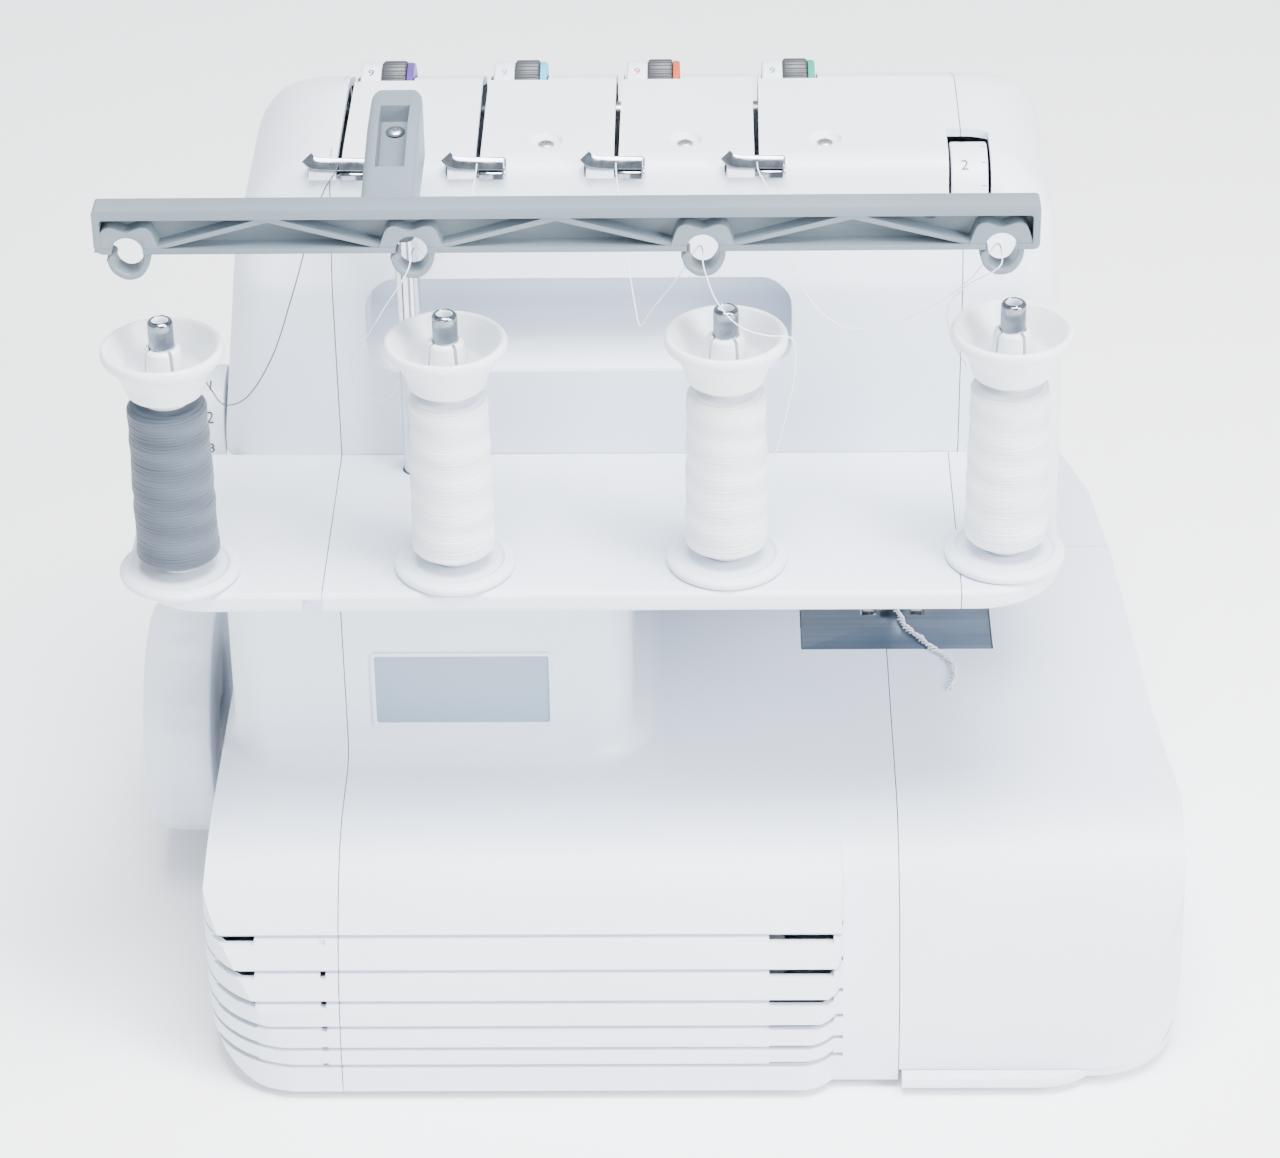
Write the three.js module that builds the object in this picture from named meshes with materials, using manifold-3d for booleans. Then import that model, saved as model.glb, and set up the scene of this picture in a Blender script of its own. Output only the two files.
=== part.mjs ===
// Serger overlock machine with its thread mast lowered, as an assembly of separate pieces.
// Millimetres, +Z up. +X is the handwheel side, +Y the rear, where the thread spools stand.
// The origin is the middle of the footprint, at the height of the soles of the feet.

import * as THREE from 'three';
import { mergeVertices } from 'three/addons/utils/BufferGeometryUtils.js';
import Module from 'manifold-3d';

const wasm = await Module();
wasm.setup();

// ---------------------------------------------------------------- driving dimensions

const GAP = 0.3; // clearance between neighbouring pieces
const WALL = 2.5; // wall of the plastic covers
const FLOOR_CLEARANCE = 3; // height of the feet under the base pan
const SHELF_Z = 77; // top of the base, level with the needle plate
const PAN_RIM_Z = 7; // top of the pan's rim round the needle side
const DOOR_SILL_Z = 15; // top of the pan's front edge, under the looper cover
const SEAM_X = 96; // handwheel-side cover against the rear housing
const FACE_SEAM_X = -97; // face cover against the rear housing
const BASE_SEAM_X = -77.5; // needle-side base cover against the rear housing
const FRONT_SEAM_Y = -39; // front panel against the rear housing
const LOOPER_SEAM_Y = -60; // looper cover against the base
const LOOPER_END_X = 58; // looper cover against the front panel

// Casing outlines: corners as [across, up, radius], counter-clockwise.
const HEAD_SILHOUETTE = [
  [-130, 128, 3], [133.5, 128, 3], [133.5, 172, 30],
  [123.5, 265.5, 34], [-124, 265.5, 28], [-129.8, 185, 30],
];
const HEAD_PROFILE = [
  [-90, 128, 6], [35, 128, 3], [35, 229, 14], [22, 265.5, 9],
  [-37, 265.5, 6], [-62, 255, 9], [-92, 170, 20],
];
const COLUMN = { left: 5.5, right: 133, front: -88, rear: 67, top: 163, radius: 13 };
const BARREL_PLAN = [[-59.5, -144], [134, -144, 14], [140.5, 144.4, 32], [-59.5, 144.4, 12]];
const NEEDLE_PLAN = [
  [-138.5, -144, 12], [0, -144], [0, 139], [-167.3, 139, 30], [-167.3, 98, 20],
  [-161.5, 37, 30], [-156.5, -56, 30], [-152, -98, 10],
];
const BARREL = { centreY: 95, centreZ: 10, reachY: 49.3, reachZ: 67 };
const NEEDLE_BASE = { centreY: 86, centreZ: 8, reachY: 53, reachZ: 69 };
const HANDWHEEL_SIDE = { low: 140.5, high: 134.5, bendZ: 30, footRadius: 20 };
const PAN_FLANGE = { left: -145, right: -64, rear: 143.5, radius: 24 };

const TRAY = { left: -125, right: 156, front: 33, rear: 118, under: 163, top: 170, radius: 26 };
const TRAY_SEAM_X = -94;
const LATCH = { width: 6, depth: 2.5, inset: 3 };
const HANDLE = { left: -44.9, right: 86.2, low: 199.4, high: 231.5, radius: 10, depth: 27 };
const HANDLE_RAMP_Z = 214;

const STATIONS = [
  { x: 139.3, y: 105, hookX: 147.1 },
  { x: 57.1, y: 102, hookX: 65.6 },
  { x: -24.4, y: 99.5, hookX: -17.8 },
  { x: -107.8, y: 97, hookX: -103.1 },
];
const SLOTS_X = [93.1, 50.8, 8.6, -34.2];
const SLOT = { width: 1.6, rear: 27 };
const NOTCH = { below: 8.7, above: 9.8, floorZ: 257, frontY: 12 };
const RECESSES_X = [73, 30.4, -12.3, -55.2];
const RECESS = { y: 8, radius: 5.2, depth: 1.4 };
const WINDOW = { left: -105.5, right: -92.5, floorZ: 244, frontY: 2 };

const TENSION_DIAL = { y: -46, z: 249.5, radius: 16.5, width: 17, fromSlot: -10.6 };
const WINDOW_DIAL = { y: 12, z: 250, radius: 14.5 };
const LENGTH_DIAL = { y: 0, z: 165, radius: 16.3, inner: 134.6, outer: 145 };
const HANDWHEEL = { y: 0, z: 50, radius: 39.6, inner: 144, outer: 167.2 };
const MOTOR = { x0: -42, x1: 84, y: 96, z: 38, radius: 27 };
const PULLEY_X = 118; // plane of the drive belt
const PULLEY = { large: 31, small: 8, width: 8 };

const MAST = { x: 72, y: 44, radius: 3.75, foot: 34, top: 281 };
const BRACKET = { left: 65, right: 80.4, top: 297 };
const BAR = { left: -114, right: 156.5, y: 101, low: 277, high: 291, depth: 8 };
const SPOOL = {
  discRadius: 18.2, discTop: 173, neckRadius: 6.8, neckTop: 176, bodyRadius: 12.3, bodyTop: 230,
  capFoot: 232, capFloor: 238, capRim: 247.6, capRadius: 18, colletTop: 249.5,
  pinRadius: 3.45, pinTop: 255.8,
};
const PLATE = { left: -112.5, right: -49.5, front: -48, rear: 4.4, thickness: 2 };
const NEEDLE = { x: -80, y: -40 };
const THREAD_RADIUS = 0.25;

// ---------------------------------------------------------------- solids

const vec = (x, y, z) => new THREE.Vector3(x, y, z);
const QUARTER = Math.PI / 2;

/** A closed three.js geometry as a solid, its shared corners merged and its slivers dropped. */
function toSolid(geometry) {
  const bare = geometry.clone();
  bare.deleteAttribute('normal');
  bare.deleteAttribute('uv');
  const merged = mergeVertices(bare, 1e-4);
  const index = merged.index.array;
  const triangles = [];
  for (let i = 0; i < index.length; i += 3) {
    const [a, b, c] = [index[i], index[i + 1], index[i + 2]];
    if (a !== b && b !== c && c !== a) triangles.push(a, b, c);
  }
  return new wasm.Manifold(new wasm.Mesh({
    numProp: 3,
    vertProperties: Float32Array.from(merged.attributes.position.array),
    triVerts: Uint32Array.from(triangles),
  }));
}

/** A solid as a flat-shaded three.js geometry. */
function toGeometry(solid) {
  const mesh = solid.getMesh();
  const geometry = new THREE.BufferGeometry();
  geometry.setAttribute('position', new THREE.BufferAttribute(mesh.vertProperties, 3));
  geometry.setIndex(new THREE.BufferAttribute(mesh.triVerts, 1));
  return geometry.toNonIndexed();
}

const join = (...solids) => solids.reduce((all, next) => all.add(next));
const cut = (solid, ...tools) => tools.reduce((rest, tool) => rest.subtract(tool), solid);
const common = (...solids) => solids.reduce((all, next) => all.intersect(next));

/** Outline through `corners`, moved inwards by `inset`, each corner rounded to its radius. */
function outline(corners, inset = 0, quarterSteps = 3) {
  const count = corners.length;
  const edges = corners.map(([a, b], i) => {
    const [c, d] = corners[(i + 1) % count];
    const length = Math.hypot(c - a, d - b);
    const along = [(c - a) / length, (d - b) / length];
    return { along, start: [a - along[1] * inset, b + along[0] * inset] };
  });
  const points = [];
  corners.forEach(([, , radius = 0], i) => {
    const before = edges[(i + count - 1) % count];
    const after = edges[i];
    const [ux, uy] = before.along;
    const [vx, vy] = after.along;
    const turn = Math.atan2(ux * vy - uy * vx, ux * vx + uy * vy);
    const reach = ((after.start[0] - before.start[0]) * vy - (after.start[1] - before.start[1]) * vx)
      / Math.sin(turn || 1);
    const corner = Math.abs(turn) < 1e-6
      ? after.start
      : [before.start[0] + ux * reach, before.start[1] + uy * reach];
    const rounded = radius ? Math.max(radius - Math.sign(turn) * inset, 0) : 0;
    if (!rounded) {
      points.push(corner);
      return;
    }
    const back = rounded * Math.tan(Math.abs(turn) / 2);
    const side = Math.sign(turn) * rounded;
    const centre = [corner[0] - ux * back - uy * side, corner[1] - uy * back + ux * side];
    const steps = Math.max(1, Math.round((Math.abs(turn) / QUARTER) * quarterSteps));
    const first = Math.atan2(uy, ux) - Math.sign(turn) * QUARTER;
    for (let step = 0; step <= steps; step += 1) {
      const angle = first + (turn * step) / steps;
      points.push([centre[0] + rounded * Math.cos(angle), centre[1] + rounded * Math.sin(angle)]);
    }
  });
  return points;
}

const AXES = {
  x: new THREE.Matrix4().makeBasis(vec(0, 1, 0), vec(0, 0, 1), vec(1, 0, 0)),
  y: new THREE.Matrix4().makeBasis(vec(1, 0, 0), vec(0, 0, 1), vec(0, -1, 0)),
  z: new THREE.Matrix4(),
};

/** A flat outline carried straight along `axis` from `from` to `to`. */
function prism(points, axis, from, to) {
  const shape = new THREE.Shape(points.map(([a, b]) => new THREE.Vector2(a, b)));
  const geometry = new THREE.ExtrudeGeometry(shape, { depth: to - from, bevelEnabled: false });
  geometry.translate(0, 0, axis === 'y' ? -to : from);
  return toSolid(geometry.applyMatrix4(AXES[axis]));
}

function box(x0, x1, y0, y1, z0, z1) {
  const geometry = new THREE.BoxGeometry(x1 - x0, y1 - y0, z1 - z0);
  return toSolid(geometry.translate((x0 + x1) / 2, (y0 + y1) / 2, (z0 + z1) / 2));
}

/** A profile of [radius, height] points, bottom to top, turned about an axis through `centre`. */
function turned(profile, axis, centre, segments = 20) {
  const points = profile.map(([radius, height]) => new THREE.Vector2(radius, height));
  const geometry = new THREE.LatheGeometry(points, segments);
  if (axis === 'x') geometry.rotateZ(-QUARTER);
  if (axis === 'z') geometry.rotateX(QUARTER);
  return toSolid(geometry.translate(...centre));
}

const rod = (radius, axis, centre, from, to, segments = 16) => turned(
  [[0, from], [radius, from], [radius, to], [0, to]], axis, centre, segments,
);
const ring = (outer, inner, axis, centre, from, to, segments = 16) => turned(
  [[inner, from], [outer, from], [outer, to], [inner, to], [inner, from]], axis, centre, segments,
);

/** A round wire or thread along a smooth curve through `points`. */
function wire(points, radius, steps, sides = 8) {
  const path = new THREE.CatmullRomCurve3(points.map((point) => vec(...point)), false, 'centripetal');
  const section = new THREE.Shape();
  for (let side = 0; side < sides; side += 1) {
    const angle = (side / sides) * 2 * Math.PI;
    const place = [radius * Math.cos(angle), radius * Math.sin(angle)];
    if (side) section.lineTo(...place);
    else section.moveTo(...place);
  }
  return toSolid(new THREE.ExtrudeGeometry(section, { steps, extrudePath: path, bevelEnabled: false }));
}

// ---------------------------------------------------------------- finishes and assembly

const finish = (color, roughness, metalness = 0) => new THREE.MeshStandardMaterial({
  color, roughness, metalness,
});
const FINISH = {
  casing: finish(0xe9eef2, 0.38),
  trim: finish(0x97a4ac, 0.42),
  dark: finish(0x3c4248, 0.5),
  steel: finish(0x6e7274, 0.35, 0.9),
  chrome: finish(0xc9ced2, 0.15, 1),
  cast: finish(0x9da3a6, 0.5, 0.8),
  rubber: finish(0x26282a, 0.8),
  thread: finish(0xf4f5f5, 0.85),
  slate: finish(0x3a4654, 0.85),
};

const machine = new THREE.Group();

function add(name, solid, material) {
  const mesh = new THREE.Mesh(toGeometry(solid), material);
  mesh.name = name;
  machine.add(mesh);
}

// ---------------------------------------------------------------- casing

/** Outline of the base from the side: a quarter ellipse at the rear, level across to the front. */
function baseProfile({ centreY, centreZ, reachY, reachZ }) {
  const points = [[-145, 0], [centreY + reachY, 0]];
  const steps = 7;
  for (let step = 0; step <= steps; step += 1) {
    const angle = (step / steps) * QUARTER;
    points.push([centreY + reachY * Math.cos(angle), centreZ + reachZ * Math.sin(angle)]);
  }
  points.push([-145, SHELF_Z, 6]);
  return points;
}

/** Outline of the base from the rear: the handwheel side leans in above a rounded foot. */
function baseFlank(inset) {
  const far = 200;
  return prism(outline([
    [-far, 0], [HANDWHEEL_SIDE.low, 0, HANDWHEEL_SIDE.footRadius],
    [HANDWHEEL_SIDE.low, HANDWHEEL_SIDE.bendZ, 20], [HANDWHEEL_SIDE.high, SHELF_Z], [-far, SHELF_Z],
  ], inset), 'y', -far, far);
}

/** The whole casing as one solid, every outer face moved inwards by `inset`. */
function casingSolid(inset) {
  const far = 200;
  const head = common(
    prism(outline(HEAD_SILHOUETTE, inset), 'y', -far, far),
    prism(outline(HEAD_PROFILE, inset), 'x', -far, far),
  );
  const columnPlan = [
    [COLUMN.left, COLUMN.front, COLUMN.radius], [COLUMN.right, COLUMN.front, COLUMN.radius],
    [COLUMN.right, COLUMN.rear, COLUMN.radius], [COLUMN.left, COLUMN.rear, COLUMN.radius],
  ];
  const column = prism(outline(columnPlan, inset), 'z', SHELF_Z - 10, COLUMN.top - inset);
  const upright = [FLOOR_CLEARANCE + 0.5 - inset * 2, SHELF_Z - inset];
  const base = common(baseFlank(inset), join(
    common(
      prism(outline(BARREL_PLAN, inset), 'z', ...upright),
      prism(outline(baseProfile(BARREL), inset), 'x', -far, far),
    ),
    common(
      prism(outline(NEEDLE_PLAN, inset), 'z', ...upright),
      prism(outline(baseProfile(NEEDLE_BASE), inset), 'x', -far, far),
    ),
  ));
  return join(head, column, base);
}

const TRAY_OUTLINE = [
  [TRAY.left, TRAY.front, 4], [TRAY.right, TRAY.front, 8],
  [TRAY.right, TRAY.rear, TRAY.radius], [TRAY.left, TRAY.rear, TRAY.radius],
];

/** The spool tray's whole outline with its upper edge rounded over. */
function traySolid() {
  const edge = 1.2;
  return join(
    prism(outline(TRAY_OUTLINE), 'z', TRAY.under, TRAY.top - edge),
    prism(outline(TRAY_OUTLINE, edge), 'z', TRAY.under + 1, TRAY.top),
  );
}

/** Pocket for the carrying handle: deepest along its top, ramped out to the lower lip. */
function handlePocket(inset) {
  const shape = [
    [HANDLE.left - inset, HANDLE.low - inset, HANDLE.radius],
    [HANDLE.right + inset, HANDLE.low - inset, HANDLE.radius],
    [HANDLE.right + inset, HANDLE.high + inset, HANDLE.radius],
    [HANDLE.left - inset, HANDLE.high + inset, HANDLE.radius],
  ];
  const deep = 35 - HANDLE.depth - inset;
  const ramp = [
    [36, HANDLE.low - inset], [36, HANDLE.high + inset], [deep, HANDLE.high + inset],
    [deep, HANDLE_RAMP_Z - inset], [33, HANDLE.low - inset],
  ];
  return common(prism(outline(shape), 'y', -10, 36), prism(ramp, 'x', -80, 120));
}

/** Slots, guide notches, dial windows and screw dishes cut through the top of the head. */
function headCuts() {
  const cuts = [];
  SLOTS_X.forEach((x) => {
    cuts.push(box(x - SLOT.width / 2, x + SLOT.width / 2, -70, SLOT.rear, 240, 280));
    cuts.push(box(x - NOTCH.below, x + NOTCH.above, NOTCH.frontY, 60, NOTCH.floorZ, 280));
    const centre = x + TENSION_DIAL.fromSlot;
    const half = TENSION_DIAL.width / 2 + 0.7;
    cuts.push(box(centre - half, centre + half, -90, FRONT_SEAM_Y + 3.5, 236, 280));
  });
  cuts.push(box(WINDOW.left, WINDOW.right, WINDOW.frontY, 60, WINDOW.floorZ, 280));
  cuts.push(box(NEEDLE.x - 15, NEEDLE.x + 14, NEEDLE.y - 18, 4, 120, 135));
  cuts.push(box(NEEDLE.x + 1, NEEDLE.x + 14, 0, 32, 120, 135));
  RECESSES_X.forEach((x) => {
    cuts.push(rod(RECESS.radius, 'z', [x, RECESS.y, 0], 265.5 - RECESS.depth, 280, 12));
  });
  return join(...cuts);
}

/** Grooves between the louvre steps that run round the barrel and its two ends. */
function louvreGrooves() {
  const heights = [54, 44.4, 35.1, 26.9, 19.5, 13.2];
  const slabs = heights.map((z) => box(-70, 150, 62, 150, z - 0.7, z + 0.7));
  return cut(join(...slabs), casingSolid(1.3));
}

/** Openings through the barrel at its needle end and beside the seam, where air passes. */
function ventSlots() {
  const heights = [40, 31, 23, 16];
  const slots = heights.flatMap((z) => [
    box(-56, -40, 110, 150, z - 1.4, z + 1.4),
    box(112, 122, 110, 150, z - 1.4, z + 1.4),
  ]);
  return join(...slots);
}

const outer = casingSolid(0);
const shell = cut(outer, casingSolid(WALL));
const far = 220;
const aboveBase = SHELF_Z + 1;
const cuts = headCuts();
const grooves = louvreGrooves();
const vents = ventSlots();
const mastHole = rod(MAST.radius + 0.6, 'z', [MAST.x, MAST.y, 0], 100, 180, 12);
const dialHole = rod(8, 'x', [0, LENGTH_DIAL.y, LENGTH_DIAL.z], 120, 150, 16);
const wheelHole = rod(12, 'x', [0, HANDWHEEL.y, HANDWHEEL.z], 120, 150, 16);
const switchHole = box(130, 150, -96, -76, 26, 40);
const plateHole = box(
  PLATE.left - GAP, PLATE.right + GAP, PLATE.front - 30, PLATE.rear + GAP, 60, 80,
);
const inletHole = box(130, 150, -66, -42, 22, 44);

function rearHousing() {
  const regions = join(
    box(FACE_SEAM_X + GAP / 2, SEAM_X - GAP / 2, FRONT_SEAM_Y + GAP / 2, far, aboveBase, 300),
    box(BASE_SEAM_X + GAP / 2, SEAM_X - GAP / 2, LOOPER_SEAM_Y + GAP / 2, far, 0, aboveBase + 0.01),
  );
  const frontCorner = box(LOOPER_END_X, far, -far, LOOPER_SEAM_Y + GAP / 2, 0, aboveBase + 1);
  const pocketWall = common(handlePocket(WALL), outer);
  const sideStrip = box(SLOTS_X[0], SEAM_X, FRONT_SEAM_Y, NOTCH.frontY, 240, 280);
  const walls = cut(common(shell, regions), frontCorner);
  return cut(
    join(walls, pocketWall), handlePocket(0), cuts, grooves, vents, mastHole, plateHole, sideStrip,
  );
}

function handwheelSideCover() {
  const topStrip = box(SLOTS_X[0], SEAM_X + 1, FRONT_SEAM_Y + GAP / 2, NOTCH.frontY, 240, 280);
  const region = join(box(SEAM_X + GAP / 2, far, -far, far, 0, 300), topStrip);
  const body = join(common(shell, region), common(traySolid(), region));
  const latch = box(
    SEAM_X, SEAM_X + LATCH.width, TRAY.rear - LATCH.inset - LATCH.depth, TRAY.rear + 5,
    TRAY.under - 1, TRAY.top - 2,
  );
  return cut(
    body, cuts, grooves, vents, dialHole, wheelHole, switchHole, inletHole, latch,
    casingSolid(WALL),
  );
}

function faceCover() {
  const region = box(-far, FACE_SEAM_X - GAP / 2, -far, far, aboveBase, 300);
  const trayEnd = box(-far, TRAY_SEAM_X - GAP / 2, -far, far, 100, 200);
  const body = join(
    common(shell, region),
    cut(common(traySolid(), trayEnd), box(FACE_SEAM_X - GAP / 2, 0, 0, 35 + GAP, 100, 200)),
  );
  return cut(body, cuts, casingSolid(WALL));
}

function frontPanel() {
  const regions = join(
    box(
      FACE_SEAM_X + GAP / 2, SEAM_X - GAP / 2, -far, FRONT_SEAM_Y - GAP / 2, aboveBase + GAP, 300,
    ),
    box(
      LOOPER_END_X + GAP / 2, SEAM_X - GAP / 2, -far, LOOPER_SEAM_Y - GAP / 2, 0, aboveBase + 1,
    ),
  );
  return cut(common(shell, regions), cuts);
}

function needleSideBaseCover() {
  const region = box(
    -far, BASE_SEAM_X - GAP / 2, LOOPER_SEAM_Y + GAP / 2, far, PAN_RIM_Z + GAP, aboveBase,
  );
  return cut(common(shell, region), plateHole);
}

function looperCover() {
  const region = box(
    -far, LOOPER_END_X - GAP / 2, -far, LOOPER_SEAM_Y - GAP / 2, DOOR_SILL_Z + GAP, aboveBase,
  );
  const columnSpace = box(
    COLUMN.left - 0.6, LOOPER_END_X, COLUMN.front - 0.6, COLUMN.rear, 60, 100,
  );
  return cut(common(shell, region), columnSpace, plateHole);
}

/** The base's plan outline as an upright slab. */
function baseSlab(inset, low, high) {
  return join(
    prism(outline(BARREL_PLAN, inset), 'z', low, high),
    prism(outline(NEEDLE_PLAN, inset), 'z', low, high),
  );
}

/** Floor of the machine: a dished pan with a rim and flange all round the needle side. */
function basePan() {
  const rimInset = 1.2;
  const top = FLOOR_CLEARANCE + WALL;
  const needleEnd = box(-far, BASE_SEAM_X - 1, -far, far, 0, 50);
  const rim = baseSlab(rimInset, FLOOR_CLEARANCE, PAN_RIM_Z);
  const flange = prism(outline([
    [PAN_FLANGE.left, 60], [PAN_FLANGE.right, 60], [PAN_FLANGE.right, PAN_FLANGE.rear],
    [PAN_FLANGE.left, PAN_FLANGE.rear, PAN_FLANGE.radius],
  ]), 'z', FLOOR_CLEARANCE, PAN_RIM_Z);
  const floor = common(baseSlab(WALL + 1, FLOOR_CLEARANCE, top), baseFlank(WALL + 1));
  const sill = box(BASE_SEAM_X - 3, LOOPER_END_X - 1, -142.8, -136, FLOOR_CLEARANCE, DOOR_SILL_Z);
  const sillDish = box(BASE_SEAM_X - 8, LOOPER_END_X + 6, -140.3, -120, top, 60);
  return cut(
    join(common(join(rim, flange), needleEnd), floor, sill),
    baseSlab(rimInset + WALL, top, 60), sillDish,
  );
}

add('rear_housing', rearHousing(), FINISH.casing);
add('handwheel_side_cover', handwheelSideCover(), FINISH.casing);
add('face_cover', faceCover(), FINISH.casing);
add('front_panel', frontPanel(), FINISH.casing);
add('needle_side_base_cover', needleSideBaseCover(), FINISH.casing);
add('looper_cover', looperCover(), FINISH.casing);
add('base_pan', basePan(), FINISH.casing);

['front_left', 'front_right', 'rear_left', 'rear_right'].forEach((place) => {
  const x = place.endsWith('left') ? -118 : 112;
  const y = place.startsWith('front') ? -112 : 104;
  add(`foot_${place}`, rod(9, 'z', [x, y, 0], 0, FLOOR_CLEARANCE - GAP, 20), FINISH.rubber);
});

// ---------------------------------------------------------------- spool tray and spools

function spoolTray() {
  const region = box(TRAY_SEAM_X + GAP / 2, SEAM_X - GAP / 2, 35 + GAP, far, TRAY.under + GAP, 200);
  const latches = [TRAY_SEAM_X, SEAM_X - LATCH.width].map((x) => box(
    x, x + LATCH.width, TRAY.rear - LATCH.inset - LATCH.depth, TRAY.rear + 5,
    TRAY.under - 1, TRAY.top - 2,
  ));
  return cut(common(traySolid(), region), ...latches, mastHole);
}

function spoolPin({ x, y }) {
  const s = SPOOL;
  return turned([
    [0, TRAY.top + GAP], [s.discRadius, TRAY.top + GAP], [s.discRadius, s.discTop],
    [s.pinRadius, s.discTop], [s.pinRadius, s.pinTop - 1], [s.pinRadius - 1, s.pinTop],
    [0, s.pinTop],
  ], 'z', [x, y, 0], 14);
}

function threadSpool({ x, y }) {
  const s = SPOOL;
  const bore = s.pinRadius + 0.5;
  return turned([
    [bore, s.discTop + GAP], [s.neckRadius, s.discTop + GAP], [s.neckRadius, s.neckTop],
    [s.bodyRadius, s.neckTop + 1], [s.bodyRadius, s.bodyTop - 1], [s.neckRadius, s.bodyTop],
    [bore, s.bodyTop], [bore, s.discTop + GAP],
  ], 'z', [x, y, 0], 14);
}

function spoolCap({ x, y }) {
  const s = SPOOL;
  const bore = s.pinRadius + 0.35;
  return turned([
    [bore, s.capFoot], [s.neckRadius + 2, s.capFoot], [s.capRadius - 3, s.capFoot + 2],
    [s.capRadius, s.capRim], [s.capRadius - 1.4, s.capRim], [s.capRadius - 5, s.capFloor],
    [bore + 1.6, s.capFloor], [bore + 1.6, s.colletTop], [bore, s.colletTop], [bore, s.capFoot],
  ], 'z', [x, y, 0], 18);
}

add('spool_tray', spoolTray(), FINISH.casing);
STATIONS.forEach((station, i) => {
  add(`spool_pin_${i + 1}`, spoolPin(station), FINISH.trim);
  add(`thread_spool_${i + 1}`, threadSpool(station), i ? FINISH.thread : FINISH.slate);
  add(`spool_cap_${i + 1}`, spoolCap(station), FINISH.casing);
});

// ---------------------------------------------------------------- thread mast

function mastBracket() {
  const rear = MAST.y + 9;
  const face = outline([
    [BRACKET.left, 268, 2], [BRACKET.right, 268, 2],
    [BRACKET.right, BRACKET.top, 6], [BRACKET.left, BRACKET.top, 6],
  ]);
  const cap = prism(face, 'y', MAST.y - 7, rear);
  const arm = prism([
    [rear - 1, 270], [BAR.y - BAR.depth / 2 - GAP, 279], [BAR.y - BAR.depth / 2 - GAP, 289],
    [rear - 1, 284],
  ], 'x', BRACKET.left + 1, BRACKET.right - 1);
  const bore = rod(MAST.radius + GAP, 'z', [MAST.x, MAST.y, 0], 260, MAST.top + GAP, 20);
  const dish = box(BRACKET.left + 3.5, BRACKET.right - 3.5, rear - 1.5, rear + 2, 286, 293);
  return cut(join(cap, arm), bore, dish);
}

/** Channel bar that carries the thread hooks, open to the rear, with a zig-zag rib inside. */
function threadBar() {
  const front = BAR.y - BAR.depth / 2;
  const rear = BAR.y + BAR.depth / 2;
  const face = outline([
    [BAR.left, BAR.low, 4], [BAR.right, BAR.low, 4],
    [BAR.right, BAR.high, 5], [BAR.left, BAR.high, 5],
  ]);
  const pocket = outline([
    [BAR.left + 2, BAR.low + 1.6, 3], [BAR.right - 2, BAR.low + 1.6, 3],
    [BAR.right - 2, BAR.high - 2.4, 3], [BAR.left + 2, BAR.high - 2.4, 3],
  ]);
  const ribs = [];
  for (let span = 0; span < STATIONS.length - 1; span += 1) {
    const from = STATIONS[span].hookX - 9;
    const to = STATIONS[span + 1].hookX + 9;
    const middle = (from + to) / 2;
    const foot = BAR.low + 1;
    const peak = BAR.high - 3.2;
    ribs.push(prism([
      [to, foot], [to + 3, foot], [middle, peak - 0.5], [from - 3, foot], [from, foot],
      [middle, peak + 1.2],
    ], 'y', front + 1, rear - 1.5));
  }
  const hooks = STATIONS.map(({ hookX }) => cut(
    rod(6.6, 'y', [hookX, 0, BAR.low + 0.5], front, rear - 0.5, 14),
    rod(4.6, 'y', [hookX, 0, BAR.low + 0.5], front - 1, rear + 1, 12),
    box(hookX - 8, hookX - 1, front - 1, rear + 1, BAR.low - 9, BAR.low - 1.5),
  ));
  const channel = cut(prism(face, 'y', front, rear), prism(pocket, 'y', front + 2, rear + 1));
  const passes = STATIONS.map(({ hookX }) => rod(4.6, 'y', [hookX, 0, BAR.low + 0.5], 80, 120, 12));
  return join(cut(join(channel, ...ribs), ...passes), ...hooks);
}

add('mast_tube', rod(MAST.radius, 'z', [MAST.x, MAST.y, 0], MAST.foot, MAST.top, 20), FINISH.chrome);
add('mast_bracket', mastBracket(), FINISH.trim);
add('thread_bar', threadBar(), FINISH.trim);

// ---------------------------------------------------------------- thread guides and dials

/** Folded plate that fills a guide notch over the rounded edge of the head. */
function threadGuide(slotX) {
  const profile = outline([
    [NOTCH.frontY + 1, 258.5], [24.2, 258.5, 2], [33.5, 247.5], [34.4, 249.5],
    [26.8, 264.8, 5], [NOTCH.frontY + 1, 265.2],
  ], 0, 3);
  const left = slotX - NOTCH.below + GAP;
  const right = slotX + NOTCH.above - GAP;
  const plate = prism(profile, 'x', left, right);
  const leaf = prism([
    [NOTCH.frontY + 2, 265], [23, 264.8], [23, 266], [NOTCH.frontY + 2, 266.6],
  ], 'x', left + 1, right - 1);
  return cut(
    join(plate, leaf),
    box(slotX - 0.6, slotX + 0.6, 0, 22, 261.5, 280),
    casingSolid(-GAP).intersect(box(left, right, 28.2, 60, 240, NOTCH.floorZ + GAP)),
  );
}

/** Thumb dial: numbered drum, ribbed grip and colour ring side by side on one spindle bore. */
function tensionDial(centreX) {
  const half = TENSION_DIAL.width / 2;
  const place = [centreX, TENSION_DIAL.y, TENSION_DIAL.z];
  return cut(
    turned([
      [0, -half], [TENSION_DIAL.radius - 1.4, -half], [TENSION_DIAL.radius - 1.4, -half + 3.5],
      [TENSION_DIAL.radius, -half + 3.5], [TENSION_DIAL.radius, half - 6.1],
      [TENSION_DIAL.radius - 0.8, half - 6.1], [TENSION_DIAL.radius - 0.8, half], [0, half],
    ], 'x', place, 20),
    rod(3.3, 'x', place, -half - 1, half + 1, 12),
  );
}

SLOTS_X.forEach((x, i) => add(`thread_guide_${i + 1}`, threadGuide(x), FINISH.chrome));
SLOTS_X.forEach((x, i) => {
  add(`tension_dial_${i + 1}`, tensionDial(x + TENSION_DIAL.fromSlot), FINISH.dark);
});
add('tension_dial_axle', rod(
  3, 'x', [0, TENSION_DIAL.y, TENSION_DIAL.z], -62, 98, 12,
), FINISH.steel);

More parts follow.
